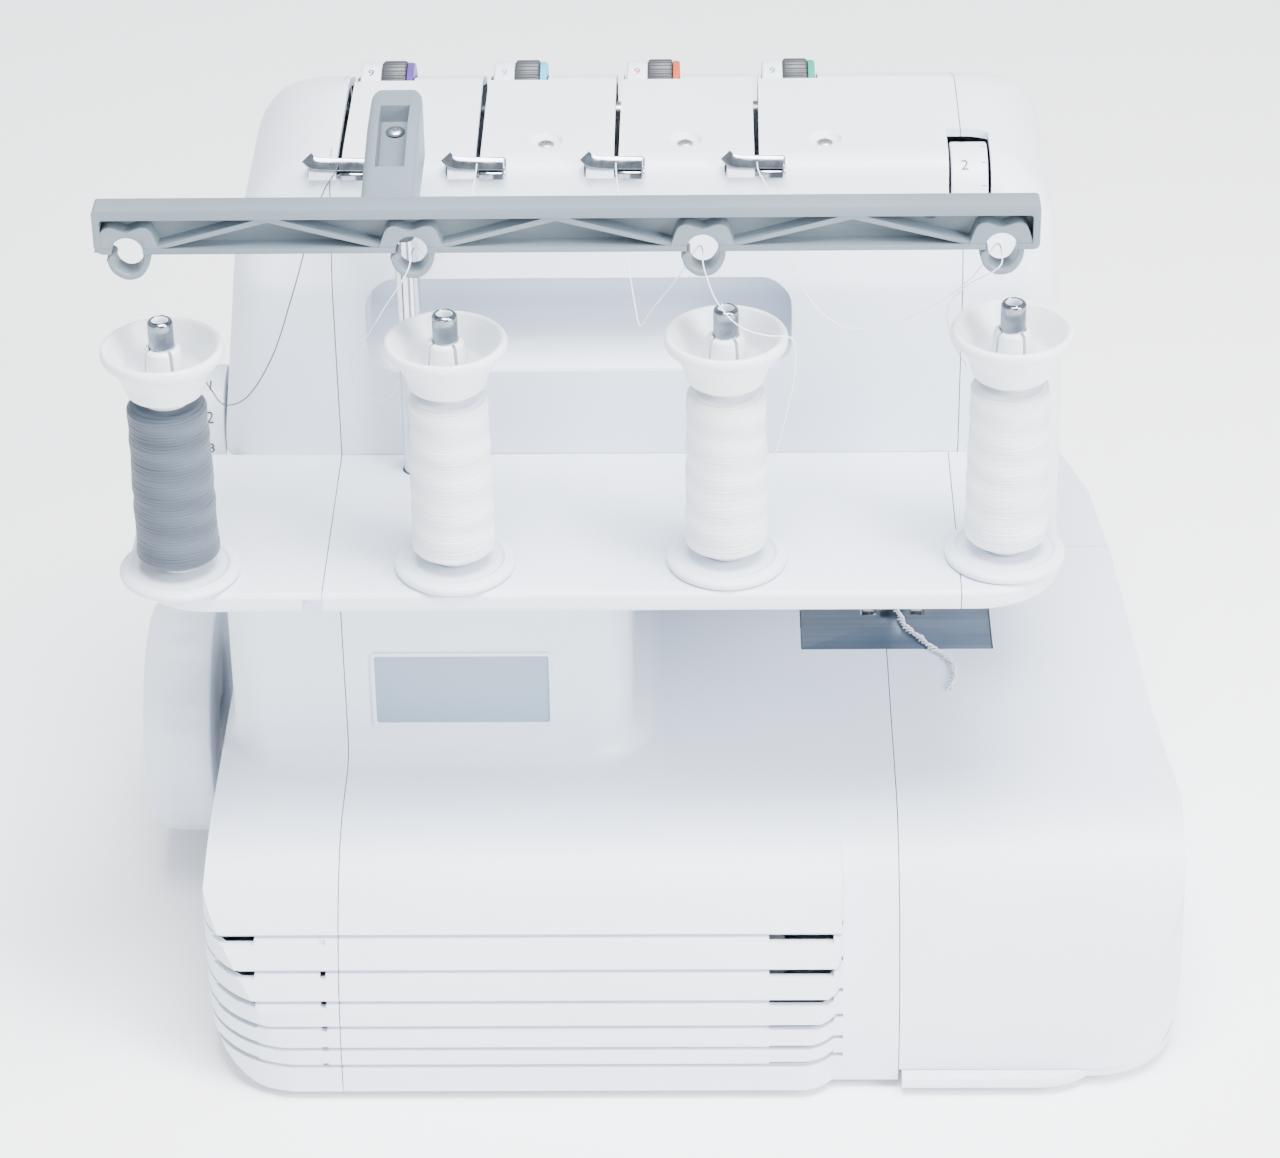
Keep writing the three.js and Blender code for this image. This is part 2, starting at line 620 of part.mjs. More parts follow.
const windowCentre = [(WINDOW.left + WINDOW.right) / 2, WINDOW_DIAL.y, WINDOW_DIAL.z];
add('foot_pressure_dial', turned([
  [0, -5.8], [WINDOW_DIAL.radius, -5.8], [WINDOW_DIAL.radius, 5.8], [0, 5.8],
], 'x', windowCentre, 20), FINISH.casing);
add('stitch_length_dial', turned([
  [0, LENGTH_DIAL.inner - 8], [7, LENGTH_DIAL.inner - 8], [7, LENGTH_DIAL.inner + 0.4],
  [LENGTH_DIAL.radius, LENGTH_DIAL.inner + 0.4], [LENGTH_DIAL.radius, LENGTH_DIAL.outer - 1.5],
  [LENGTH_DIAL.radius - 1.5, LENGTH_DIAL.outer], [0, LENGTH_DIAL.outer],
], 'x', [0, LENGTH_DIAL.y, LENGTH_DIAL.z], 20), FINISH.casing);

// ---------------------------------------------------------------- drive

const wheelAxis = [0, HANDWHEEL.y, HANDWHEEL.z];
const motorAxis = [0, MOTOR.y, MOTOR.z];
add('handwheel', turned([
  [0, 138], [9, 138], [9, HANDWHEEL.inner], [HANDWHEEL.radius - 3, HANDWHEEL.inner],
  [HANDWHEEL.radius, HANDWHEEL.inner + 4], [HANDWHEEL.radius, HANDWHEEL.outer - 6],
  [HANDWHEEL.radius - 4, HANDWHEEL.outer - 1.5], [12, HANDWHEEL.outer], [0, HANDWHEEL.outer],
], 'x', wheelAxis, 28), FINISH.casing);
add('main_shaft', join(
  rod(5, 'x', wheelAxis, -104, 137.7, 16),
  ring(PULLEY.large, 4, 'x', wheelAxis, PULLEY_X - PULLEY.width / 2, PULLEY_X + PULLEY.width / 2, 20),
), FINISH.steel);
add('motor', join(
  rod(MOTOR.radius, 'x', motorAxis, MOTOR.x0, MOTOR.x1, 24),
  box(MOTOR.x0 + 20, MOTOR.x1 - 20, MOTOR.y - 22, MOTOR.y + 22, 8, MOTOR.z),
), FINISH.cast);
add('motor_pulley', join(
  rod(PULLEY.small, 'x', motorAxis, PULLEY_X - PULLEY.width / 2, PULLEY_X + PULLEY.width / 2, 16),
  rod(4, 'x', motorAxis, MOTOR.x1 + GAP, PULLEY_X, 12),
), FINISH.steel);

/** Belt loop round both pulleys: the outline of two circles and their outer tangents. */
function beltLoop(extra) {
  const [y0, z0] = [HANDWHEEL.y, HANDWHEEL.z];
  const [y1, z1] = [MOTOR.y, MOTOR.z];
  const span = Math.hypot(y1 - y0, z1 - z0);
  const lean = Math.atan2(z1 - z0, y1 - y0);
  const open = Math.acos((PULLEY.large - PULLEY.small) / span);
  const points = [];
  const steps = 12;
  for (let step = 0; step <= steps; step += 1) {
    const angle = lean + open + ((2 * Math.PI - 2 * open) * step) / steps;
    const radius = PULLEY.large + extra;
    points.push([y0 + radius * Math.cos(angle), z0 + radius * Math.sin(angle)]);
  }
  for (let step = 0; step <= steps / 2; step += 1) {
    const angle = lean - open + (2 * open * step) / (steps / 2);
    const radius = PULLEY.small + extra;
    points.push([y1 + radius * Math.cos(angle), z1 + radius * Math.sin(angle)]);
  }
  return points;
}
const beltHalf = PULLEY.width / 2 - 1;
add('drive_belt', cut(
  prism(beltLoop(3.4), 'x', PULLEY_X - beltHalf, PULLEY_X + beltHalf),
  prism(beltLoop(1.6), 'x', PULLEY_X - PULLEY.width, PULLEY_X + PULLEY.width),
), FINISH.rubber);

// ---------------------------------------------------------------- frame and sewing parts

const needleBarAt = [NEEDLE.x, NEEDLE.y, 0];
const presserBarAt = [NEEDLE.x, NEEDLE.y + 18, 0];
const FEED = { front: -30, rear: -19 };
const LIFTER = { y: 24, z: 119, left: -72.5, right: -62, tipY: 40 };

/** Cast frame: bed rail with shaft bearings, column, and the arm that holds both bars. */
function machineFrame() {
  const shaftBore = rod(5 + GAP, 'x', wheelAxis, -130, 70, 16);
  const body = join(
    box(-95, 60, -12, 14, 6, 30),
    box(-95, -85, -12, 14, 6, 62),
    box(14, 60, -34, 14, 6, 62),
    box(14, 60, -34, 2, 60, 231),
    box(-92, 60, NEEDLE.y - 12, 2, 196, 231),
    box(-92, -68, NEEDLE.y - 12, -2, 150, 231),
    box(-76, -73, -10, 30, 132, 152),
    box(-76, -73, 18, 30, 114, 140),
    box(56, 80, 0, 52, 96, 140),
  );
  return cut(
    body, shaftBore,
    rod(4 + GAP, 'z', needleBarAt, 100, 240, 16),
    rod(4 + GAP, 'z', presserBarAt, 100, 240, 16),
    rod(2.2, 'x', [0, LIFTER.y, LIFTER.z], -80, -70, 12),
    rod(MAST.radius + GAP, 'z', [MAST.x, MAST.y, 0], 90, 150, 20),
  );
}

function needlePlate() {
  const plate = box(
    PLATE.left, PLATE.right, PLATE.front, PLATE.rear, SHELF_Z - PLATE.thickness, SHELF_Z,
  );
  return cut(
    plate,
    box(NEEDLE.x - 4, NEEDLE.x + 4, NEEDLE.y - 3, NEEDLE.y + 2, 70, 80),
    box(-91, -85.5, FEED.front - 2.5, FEED.rear + 2.5, 70, 80),
    box(-75, -69.5, FEED.front - 2.5, FEED.rear + 2.5, 70, 80),
    box(-67, -61, PLATE.front - 1, -34, 70, 80),
  );
}

function needleBar() {
  return join(
    rod(4, 'z', needleBarAt, 120, 228, 16),
    box(NEEDLE.x - 6, NEEDLE.x + 6, NEEDLE.y - 4, NEEDLE.y + 4, 112, 121),
    rod(1.6, 'x', [0, NEEDLE.y, 116], NEEDLE.x + 5, NEEDLE.x + 11, 10),
  );
}

const needle = (x) => turned(
  [[0, 84], [0.9, 89], [0.9, 104], [1.1, 104.5], [1.1, 111.7], [0, 111.7]],
  'z', [x, NEEDLE.y, 0], 10,
);

function presserFoot() {
  const sole = cut(
    box(-92, -68, NEEDLE.y - 13, NEEDLE.y + 18, SHELF_Z + 0.5, SHELF_Z + 3),
    box(NEEDLE.x - 4, NEEDLE.x + 4, NEEDLE.y - 3, NEEDLE.y + 3, 70, 90),
  );
  return join(
    sole,
    box(NEEDLE.x - 4, NEEDLE.x + 4, NEEDLE.y + 13, NEEDLE.y + 22, SHELF_Z + 2, 98),
    rod(4, 'z', presserBarAt, 96, 222, 16),
  );
}

function footLifter() {
  const { y, z, left, right, tipY } = LIFTER;
  return join(
    rod(4, 'x', [0, y, z], left, right, 16),
    rod(1.9, 'x', [0, y, z], left - 5, left + 1, 12),
    prism([[y, z - 2.2], [tipY, z - 3.2], [tipY + 2, z - 2], [tipY, z - 0.8], [y, z + 2.2]],
      'x', left, right),
  );
}

/** Looper: a curved arm on a shaft along Y, its hooked tip pointing to `side` (-1 or 1). */
function looper(x, z, y, side, reach) {
  const arm = outline([
    [x - side * 4, z - 3, 2], [x + side * 4, z - 3, 2], [x - side * 2, z + reach - 8, 12],
    [x + side * 20, z + reach - 2, 1], [x + side * 20, z + reach, 1],
    [x - side * 6, z + reach - 2, 10],
  ]);
  return join(
    prism(side > 0 ? arm : arm.reverse(), 'y', y - 2, y + 2),
    rod(3, 'y', [x, 0, z], y, -12 - GAP, 12),
  );
}

add('machine_frame', machineFrame(), FINISH.cast);
add('needle_plate', needlePlate(), FINISH.steel);
add('needle_bar', needleBar(), FINISH.chrome);
add('needle_left', needle(NEEDLE.x - 2.2), FINISH.chrome);
add('needle_right', needle(NEEDLE.x + 2.2), FINISH.chrome);
add('presser_foot', presserFoot(), FINISH.chrome);
add('foot_lifter', footLifter(), FINISH.casing);
add('lower_looper', looper(-88, 20, -34, 1, 46), FINISH.chrome);
add('upper_looper', looper(-46, 16, -39.5, -1, 50), FINISH.chrome);
add('upper_knife', join(
  box(-65, -62, -50, -43, 40, 92), box(-62.5, -52, -50, -43, 40, 48),
), FINISH.steel);
add('feed_dog', join(
  box(-90, -86.5, FEED.front, FEED.rear, 62, SHELF_Z + 0.2),
  box(-74, -70.5, FEED.front, FEED.rear, 62, SHELF_Z + 0.2),
  box(-90, -70.5, FEED.front + 1, FEED.rear - 1, 63, 68),
), FINISH.steel);
add('power_switch', prism([
  [130, -94.5], [140.4, -94.5], [139, -86], [140.4, -77.5], [130, -77.5],
], 'z', 27.5, 38.5), FINISH.dark);
add('mains_inlet', cut(
  box(122, 139.6, -65.6, -42.4, 22.4, 43.6), box(128, 145, -62, -46, 26, 40),
), FINISH.dark);

// ---------------------------------------------------------------- threads

const THREAD_ROUTES = [
  [
    [131, 91, 231.5], [128.5, 86, 222], [125.6, 80, 213.5], [120, 71, 211], [113, 62, 219],
    [106.3, 52, 236], [101, 43, 252], [96.5, 34.5, 262.5], [93.6, 29.6, 265.6], [93.1, 27.6, 266],
  ],
  [
    [71.5, 97, 231.6], [75.5, 91, 221.5], [81, 85, 218], [86, 82, 222], [86.8, 82, 229],
    [81, 88, 241], [74, 98.5, 257], [68.6, 106.2, 268.5], [66.3, 107, 273.4], [65.8, 101, 275],
    [64.8, 94.8, 273.6], [61, 80, 260], [57, 60, 253], [53.5, 42, 256.5], [51.1, 31, 264.6],
    [50.8, 27.6, 266],
  ],
  [
    [-37.8, 104.5, 206], [-41.5, 106, 222], [-44.4, 106.5, 240], [-43.4, 106, 249],
    [-36, 108, 251.2], [-28, 109, 255], [-21.6, 108.6, 263], [-18.8, 107.6, 270.5],
    [-17.9, 106.8, 273.8], [-17.8, 101, 275], [-16.8, 95, 273.6], [-10, 82, 256],
    [-2, 72, 240], [1.2, 66, 232], [3.2, 57, 237], [5.6, 46, 249], [7.8, 34, 261.5],
    [8.5, 29.4, 265.6], [8.6, 27.6, 266],
  ],
  [
    [-95, 91, 231.5], [-90.2, 88.6, 240], [-89.2, 90, 250], [-94, 98.5, 262], [-101, 106, 270.6],
    [-103, 107, 273.4], [-103.3, 101, 275], [-102.4, 94.8, 273.6], [-97, 84, 258],
    [-88, 74, 244], [-74, 66, 232], [-60, 60, 228], [-50, 54, 234], [-44, 46, 246],
    [-38, 35, 260.5], [-34.6, 29.8, 265.4], [-34.2, 27.6, 266],
  ],
];
THREAD_ROUTES.forEach((route, i) => {
  add(`thread_${i + 1}`, wire(route, THREAD_RADIUS, 30), i ? FINISH.thread : FINISH.slate);
});

export default machine;
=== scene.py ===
"""Serger overlock machine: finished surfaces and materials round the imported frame.

Lengths are millimetres inside this script and become metres where a mesh is made.
+X is the handwheel side, +Y the rear where the thread spools stand, +Z up.
"""
import math

import bpy
import numpy as np
from mathutils import Matrix, Vector


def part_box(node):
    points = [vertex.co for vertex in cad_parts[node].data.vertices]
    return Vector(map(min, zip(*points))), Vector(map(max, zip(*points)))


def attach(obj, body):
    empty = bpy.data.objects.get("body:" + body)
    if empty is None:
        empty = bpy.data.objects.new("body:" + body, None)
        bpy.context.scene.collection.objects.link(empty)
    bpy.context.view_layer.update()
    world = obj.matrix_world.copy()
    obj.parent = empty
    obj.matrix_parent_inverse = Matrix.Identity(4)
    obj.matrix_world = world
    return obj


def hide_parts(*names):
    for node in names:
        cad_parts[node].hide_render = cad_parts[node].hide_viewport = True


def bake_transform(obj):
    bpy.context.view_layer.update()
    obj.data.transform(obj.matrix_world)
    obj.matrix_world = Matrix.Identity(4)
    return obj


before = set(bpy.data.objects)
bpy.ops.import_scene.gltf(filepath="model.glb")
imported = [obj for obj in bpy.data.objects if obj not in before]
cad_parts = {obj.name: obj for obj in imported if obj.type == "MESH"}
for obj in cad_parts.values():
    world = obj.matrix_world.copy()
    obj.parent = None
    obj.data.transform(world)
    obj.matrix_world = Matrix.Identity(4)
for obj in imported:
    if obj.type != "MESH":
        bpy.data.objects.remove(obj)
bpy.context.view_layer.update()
MM = 0.001
QUARTER = math.pi / 2


def node_box(name):
    """Lowest and highest corner of a frame node in millimetres."""
    low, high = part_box(name)
    return np.array(low) / MM, np.array(high) / MM


# ---------------------------------------------------------------- camera, light and floor

CAMERA_AT = (-20.8, 1174.0, 829.9)
CAMERA_PITCH = math.radians(31.8)
CAMERA_YAW = math.radians(1.2)
CAMERA_ROLL = math.radians(0.9)


def make_camera():
    """Long-lens camera behind the machine, looking down at it over the thread spools."""
    ahead = Vector((math.sin(CAMERA_YAW), -math.cos(CAMERA_YAW), 0))
    right = Vector((-math.cos(CAMERA_YAW), -math.sin(CAMERA_YAW), 0))
    view = math.cos(CAMERA_PITCH) * ahead - math.sin(CAMERA_PITCH) * Vector((0, 0, 1))
    up = right.cross(view)
    turn = Matrix((right, up, -view)).transposed() @ Matrix.Rotation(-CAMERA_ROLL, 3, "Z")
    data = bpy.data.cameras.new("studio_camera")
    data.lens = 118.1
    data.sensor_width = 36.0
    data.clip_start = 0.05
    camera = bpy.data.objects.new("studio_camera", data)
    camera.matrix_world = Matrix.Translation(Vector(CAMERA_AT) * MM) @ turn.to_4x4()
    bpy.context.scene.collection.objects.link(camera)
    bpy.context.scene.camera = camera


def area_light(name, place, target, size, power):
    """Oblong soft box at `place` facing `target`, both in millimetres."""
    data = bpy.data.lights.new(name, "AREA")
    data.shape = "RECTANGLE"
    data.size, data.size_y = size[0] * MM, size[1] * MM
    data.energy = power
    light = bpy.data.objects.new(name, data)
    away = (Vector(place) - Vector(target)).normalized()
    light.matrix_world = (
        Matrix.Translation(Vector(place) * MM) @ away.to_track_quat("Z", "Y").to_matrix().to_4x4()
    )
    bpy.context.scene.collection.objects.link(light)


def make_light():
    """Pale surround, a broad overhead box, a softer key from the needle side and a rear fill."""
    world = bpy.data.worlds.new("studio_surround")
    world.use_nodes = True
    background = world.node_tree.nodes["Background"]
    background.inputs["Color"].default_value = (0.90, 0.94, 1.0, 1)
    background.inputs["Strength"].default_value = 1.2
    bpy.context.scene.world = world
    area_light("overhead_box", (-150, 350, 1500), (0, 0, 100), (900, 700), 78)
    area_light("needle_side_key", (-1150, 900, 900), (0, 0, 130), (600, 600), 46)
    area_light("rear_fill", (500, 1500, 350), (0, 50, 120), (900, 600), 9)


# ---------------------------------------------------------------- mesh building

def signed_volume(mesh):
    """Sum of a . (b x c) / 6 over the triangles: positive where the faces point outwards."""
    places = np.empty(len(mesh.vertices) * 3)
    mesh.vertices.foreach_get("co", places)
    mesh.calc_loop_triangles()
    corners = np.empty(len(mesh.loop_triangles) * 3, int)
    mesh.loop_triangles.foreach_get("vertices", corners)
    a, b, c = places.reshape(-1, 3)[corners.reshape(-1, 3)].transpose(1, 0, 2)
    return (a * np.cross(b, c)).sum() / 6


def link_mesh(name, points, faces, smooth=True):
    """Object at the origin from points in millimetres and a list of faces."""
    mesh = bpy.data.meshes.new(name)
    mesh.from_pydata((np.asarray(points, float) * MM).tolist(), [], faces)
    mesh.update()
    if signed_volume(mesh) < 0:
        mesh.flip_normals()
    if smooth:
        mesh.polygons.foreach_set("use_smooth", np.ones(len(mesh.polygons), bool))
    piece = bpy.data.objects.new(name, mesh)
    bpy.context.scene.collection.objects.link(piece)
    return piece


def grid_faces(rows, columns, wrap_rows=False, wrap_columns=False):
    """Quads of a rows x columns grid of points, numbered row by row."""
    row = np.arange(rows if wrap_rows else rows - 1)[:, None]
    column = np.arange(columns if wrap_columns else columns - 1)[None, :]
    next_row, next_column = (row + 1) % rows, (column + 1) % columns
    quads = np.stack([
        row * columns + column, row * columns + next_column,
        next_row * columns + next_column, next_row * columns + column,
    ], axis=-1)
    return quads.reshape(-1, 4).tolist()


def loft(name, sections, smooth=True):
    """Closed solid through a stack of closed sections (rows x points x 3), capped at both ends."""
    sections = np.asarray(sections, float)
    rows, columns = sections.shape[:2]
    faces = grid_faces(rows, columns, wrap_columns=True)
    faces.append(list(range(columns))[::-1])
    faces.append(list(range((rows - 1) * columns, rows * columns)))
    return link_mesh(name, sections.reshape(-1, 3), faces, smooth)


def ring_sheet(name, sections):
    """Closed ring through sections that join back to the first (rows x points x 3)."""
    sections = np.asarray(sections, float)
    rows, columns = sections.shape[:2]
    return link_mesh(name, sections.reshape(-1, 3), grid_faces(rows, columns, True, True))


def outline(corners, inset=0.0, quarter_steps=10):
    """Closed outline (N x 2) through corners [a, b, radius], moved inwards by `inset`.

    Each corner becomes an arc of its radius less the inset, in steps of the same angle, so the
    outline has the same number of points at every inset.
    """
    corners = [tuple(corner) + (0,) * (3 - len(corner)) for corner in corners]
    place = np.array([corner[:2] for corner in corners], float)
    radius = np.array([corner[2] for corner in corners], float)
    along = np.roll(place, -1, axis=0) - place
    along /= np.linalg.norm(along, axis=1)[:, None]
    start = place + inset * np.stack([-along[:, 1], along[:, 0]], axis=1)
    points = []
    for i, full in enumerate(radius):
        u, v = along[i - 1], along[i]
        cross, dot = u[0] * v[1] - u[1] * v[0], u @ v
        turn = math.atan2(cross, dot)
        offset = start[i] - start[i - 1]
        corner = start[i - 1] + u * (offset[0] * v[1] - offset[1] * v[0]) / cross
        if not full:
            points.append(corner[None])
            continue
        side = math.copysign(1, turn)
        rounded = max(full - side * inset, 0.15)
        back = rounded * math.tan(abs(turn) / 2)
        centre = corner - u * back + side * rounded * np.array([-u[1], u[0]])
        steps = max(1, round(abs(turn) / QUARTER * quarter_steps))
        angle = math.atan2(u[1], u[0]) - side * QUARTER + turn * np.arange(steps + 1) / steps
        points.append(centre + rounded * np.stack([np.cos(angle), np.sin(angle)], axis=1))
    return np.concatenate(points)


def lift(flat, axis, height):
    """Outline (N x 2) at `height` along an axis: (y, z) for x, (x, z) for y, (x, y) for z."""
    order = {"x": (2, 0, 1), "y": (0, 2, 1), "z": (0, 1, 2)}[axis]
    column = np.broadcast_to(np.asarray(height, float), (len(flat),))
    return np.stack([flat[:, 0], flat[:, 1], column], axis=1)[:, list(order)]


def prism(name, flat, axis, low, high, smooth=False):
    """Outline carried straight from `low` to `high` along an axis."""
    ends = (high, low) if axis == "y" else (low, high)
    return loft(name, [lift(np.asarray(flat, float), axis, end) for end in ends], smooth)


def block(name, low, high):
    """Plain box between two corners, used as a cutting tool."""
    (x0, y0, z0), (x1, y1, z1) = low, high
    return prism(name, [(x0, y0), (x1, y0), (x1, y1), (x0, y1)], "z", z0, z1)


def turned(name, profile, axis, centre, segments=64):
    """Profile of (radius, height) points turned about an axis through `centre`.

    The point at angle t is (radius cos t, radius sin t) round the axis. The profile closes on
    itself, or starts and ends on the axis where its poles become flat end caps.
    """
    profile = np.asarray(profile, float)
    angle = 2 * math.pi * np.arange(segments) / segments
    on_axis = profile[0, 0] < 1e-6 and profile[-1, 0] < 1e-6
    body = profile[1:-1] if on_axis else profile
    ring = np.stack([np.cos(angle), np.sin(angle)], axis=1)
    points = np.concatenate([
        body[:, None, 0:1] * ring[None],
        np.broadcast_to(body[:, None, 1:2], (len(body), segments, 1)),
    ], axis=2)
    order = {"x": (2, 0, 1), "y": (1, 2, 0), "z": (0, 1, 2)}[axis]
    points = points[:, :, list(order)] + np.asarray(centre, float)
    if on_axis:
        return loft(name, points)
    return ring_sheet(name, points[::-1])


def rounded_profile(corners, steps=4):
    """Open profile through (radius, height, rounding) corners, each turned into a smooth arc."""
    corners = [tuple(corner) + (0,) * (3 - len(corner)) for corner in corners]
    points = [np.array(corners[0][:2], float)]
    for before, here, after in zip(corners, corners[1:], corners[2:]):
        place = np.array(here[:2], float)
        if not here[2]:
            points.append(place)
            continue
        u = place - np.array(before[:2], float)
        v = np.array(after[:2], float) - place
        reach = min(here[2], np.linalg.norm(u) * 0.49, np.linalg.norm(v) * 0.49)
        first, last = place - u / np.linalg.norm(u) * reach, place + v / np.linalg.norm(v) * reach
        for t in np.linspace(0, 1, steps + 1):
            points.append((1 - t) ** 2 * first + 2 * t * (1 - t) * place + t * t * last)
    points.append(np.array(corners[-1][:2], float))
    return np.array(points)


def smooth_path(points, count):
    """`count` points along the centripetal spline through a list of points."""
    points = np.asarray(points, float)
    before = 2 * points[0] - points[1]
    after = 2 * points[-1] - points[-2]
    knots = np.vstack([before, points, after])
    gaps = np.sqrt(np.linalg.norm(np.diff(knots, axis=0), axis=1))
    time = np.concatenate([[0], np.cumsum(gaps)])
    places = []
    for t in np.linspace(time[1], time[-2], count):
        i = min(max(np.searchsorted(time, t, side="right") - 1, 1), len(knots) - 3)
        t0, t1, t2, t3 = time[i - 1:i + 3]
        p0, p1, p2, p3 = knots[i - 1:i + 3]
        a1 = ((t1 - t) * p0 + (t - t0) * p1) / (t1 - t0)
        a2 = ((t2 - t) * p1 + (t - t1) * p2) / (t2 - t1)
        a3 = ((t3 - t) * p2 + (t - t2) * p3) / (t3 - t2)
        b1 = ((t2 - t) * a1 + (t - t0) * a2) / (t2 - t0)
        b2 = ((t3 - t) * a2 + (t - t1) * a3) / (t3 - t1)
        places.append(((t2 - t) * b1 + (t - t1) * b2) / (t2 - t1))
    return np.array(places)


def swept(name, path, section):
    """Section (N x 2) carried along a path, kept upright by carrying its first normal along.

    Point = path + a * normal + b * binormal, with normals passed from step to step by taking
    away their part along the new tangent.
    """
    path = np.asarray(path, float)
    section = np.asarray(section, float)
    tangent = np.gradient(path, axis=0)
    tangent /= np.linalg.norm(tangent, axis=1)[:, None]
    normal = np.cross(tangent[0], (0, 0, 1))
    if np.linalg.norm(normal) < 1e-3:
        normal = np.cross(tangent[0], (0, 1, 0))
    rows = []
    for place, ahead in zip(path, tangent):
        normal = normal - ahead * (normal @ ahead)
        normal /= np.linalg.norm(normal)
        side = np.cross(ahead, normal)
        rows.append(place + (section[:, :1] * normal + section[:, 1:] * side))
    return loft(name, rows)


def round_section(radius, sides):
    """Circle of points (radius cos t, radius sin t)."""
    angle = 2 * math.pi * np.arange(sides) / sides
    return radius * np.stack([np.cos(angle), np.sin(angle)], axis=1)


# ---------------------------------------------------------------- joining and finishing

def settle(piece):
    """Replaces a piece's mesh with its mesh after modifiers."""
    graph = bpy.context.evaluated_depsgraph_get()
    finished = bpy.data.meshes.new_from_object(piece.evaluated_get(graph))
    piece.modifiers.clear()
    old, piece.data = piece.data, finished
    bpy.data.meshes.remove(old)
    finished.name = piece.name
    return piece


def combine(piece, others, operation):
    """Cuts `piece` with the other solids, joins it to them or keeps what they share."""
    for other in others:
        step = piece.modifiers.new("combine", "BOOLEAN")
        step.operation = operation
        step.solver = "MANIFOLD"
        step.object = other
    settle(piece)
    for other in others:
        bpy.data.meshes.remove(other.data)
    return piece


def cut(piece, *tools):
    """Takes the tools away from a piece."""
    return combine(piece, tools, "DIFFERENCE")


def join(piece, *others):
    """Joins the others to a piece."""
    return combine(piece, others, "UNION")


def keep(piece, *others):
    """Leaves only what a piece shares with all the others."""
    return combine(piece, others, "INTERSECT")


def copy(piece, name):
    """Second piece with its own mesh."""
    twin = piece.copy()
    twin.data = piece.data.copy()
    twin.name = twin.data.name = name
    bpy.context.scene.collection.objects.link(twin)
    return twin


def soften(piece, width, segments=2, angle=35):
    """Rounds every edge sharper than `angle` degrees and shades the rest smooth."""
    step = piece.modifiers.new("rounded_edges", "BEVEL")
    step.width = width * MM
    step.segments = segments
    step.limit_method = "ANGLE"
    step.angle_limit = math.radians(angle)
    step.use_clamp_overlap = True
    step.harden_normals = False
    return shade(settle(piece), angle)


def shade(piece, angle=30):
    """Smooth shading that breaks at edges sharper than `angle` degrees."""
    piece.data.polygons.foreach_set("use_smooth", np.ones(len(piece.data.polygons), bool))
    piece.data.set_sharp_from_angle(angle=math.radians(angle))
    return piece


def dress(piece, body, material, replaces=()):
    """Gives a piece its material and body, and names the nodes it stands for."""
    piece.data.materials.clear()
    piece.data.materials.append(material)
    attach(piece, body)
    if replaces:
        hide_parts(*replaces)
    return piece


# ---------------------------------------------------------------- materials

class Surface:
    """Node material with a Principled shader, and short helpers to wire textures to it."""

    def __init__(self, name, colour, roughness, metallic=0.0, **more):
        self.material = bpy.data.materials.new(name)
        self.material.use_nodes = True
        self.tree = self.material.node_tree
        self.shader = self.tree.nodes["Principled BSDF"]
        self.put("Base Color", (*colour, 1))
        self.put("Roughness", roughness)
        self.put("Metallic", metallic)
        for key, value in more.items():
            self.put(key.replace("_", " "), value)

    def put(self, socket, value):
        """Sets an input of the shader."""
        self.shader.inputs[socket].default_value = value

    def node(self, kind, **settings):
        """New node with its inputs or properties set by name."""
        made = self.tree.nodes.new(kind)
        for key, value in settings.items():
            if key in made.inputs:
                made.inputs[key].default_value = value
            else:
                setattr(made, key, value)
        return made

    def link(self, source, target):
        self.tree.links.new(source, target)

    def place(self, stretch=(1, 1, 1)):
        """Object coordinates, stretched along each axis."""
        coordinates = self.node("ShaderNodeTexCoord")
        mapping = self.node("ShaderNodeMapping", Scale=stretch)
        self.link(coordinates.outputs["Object"], mapping.inputs["Vector"])
        return mapping.outputs["Vector"]

    def noise(self, scale, detail=3.0, stretch=(1, 1, 1)):
        """Noise of 0..1 over the object's coordinates."""
        texture = self.node("ShaderNodeTexNoise", Scale=scale, Detail=detail)
        self.link(self.place(stretch), texture.inputs["Vector"])
        return texture.outputs["Fac"]

    def spread(self, value, low, high, socket):
        """Maps a 0..1 value to low..high and sends it to a shader socket."""
        ramp = self.node("ShaderNodeMapRange")
        ramp.inputs["To Min"].default_value = low
        ramp.inputs["To Max"].default_value = high
        self.link(value, ramp.inputs["Value"])
        self.link(ramp.outputs["Result"], self.shader.inputs[socket])

    def tint(self, value, dark, light, start=0.3, end=0.7):
        """Base colour from dark to light as the value goes from start to end."""
        ramp = self.node("ShaderNodeValToRGB")
        ramp.color_ramp.elements[0].position = start
        ramp.color_ramp.elements[0].color = (*dark, 1)
        ramp.color_ramp.elements[1].position = end
        ramp.color_ramp.elements[1].color = (*light, 1)
        self.link(value, ramp.inputs["Fac"])
        self.link(ramp.outputs["Color"], self.shader.inputs["Base Color"])

    def bump(self, value, strength, distance):
        """Small relief that follows a 0..1 value."""
        relief = self.node("ShaderNodeBump", Strength=strength, Distance=distance)
        self.link(value, relief.inputs["Height"])
        self.link(relief.outputs["Normal"], self.shader.inputs["Normal"])


def moulded(name, dark, light, roughness, grain=0.12):
    """Moulded plastic: barely uneven colour, a fine spark-eroded grain and patchy gloss."""
    made = Surface(name, light, roughness, Specular_IOR_Level=0.45)
    made.tint(made.noise(14), dark, light)
    made.spread(made.noise(55), roughness - 0.05, roughness + 0.07, "Roughness")
    made.bump(made.noise(2600, 2), grain, 0.00006)
    return made.material


def brushed(name, dark, light, roughness, stretch):
    """Brushed metal: streaks along the unstretched axis."""
    made = Surface(name, light, roughness, 1.0)
    streaks = made.noise(300, 2, stretch)
    made.tint(streaks, dark, light)
    made.spread(streaks, roughness - 0.08, roughness + 0.1, "Roughness")
    made.bump(streaks, 0.08, 0.00004)
    return made.material


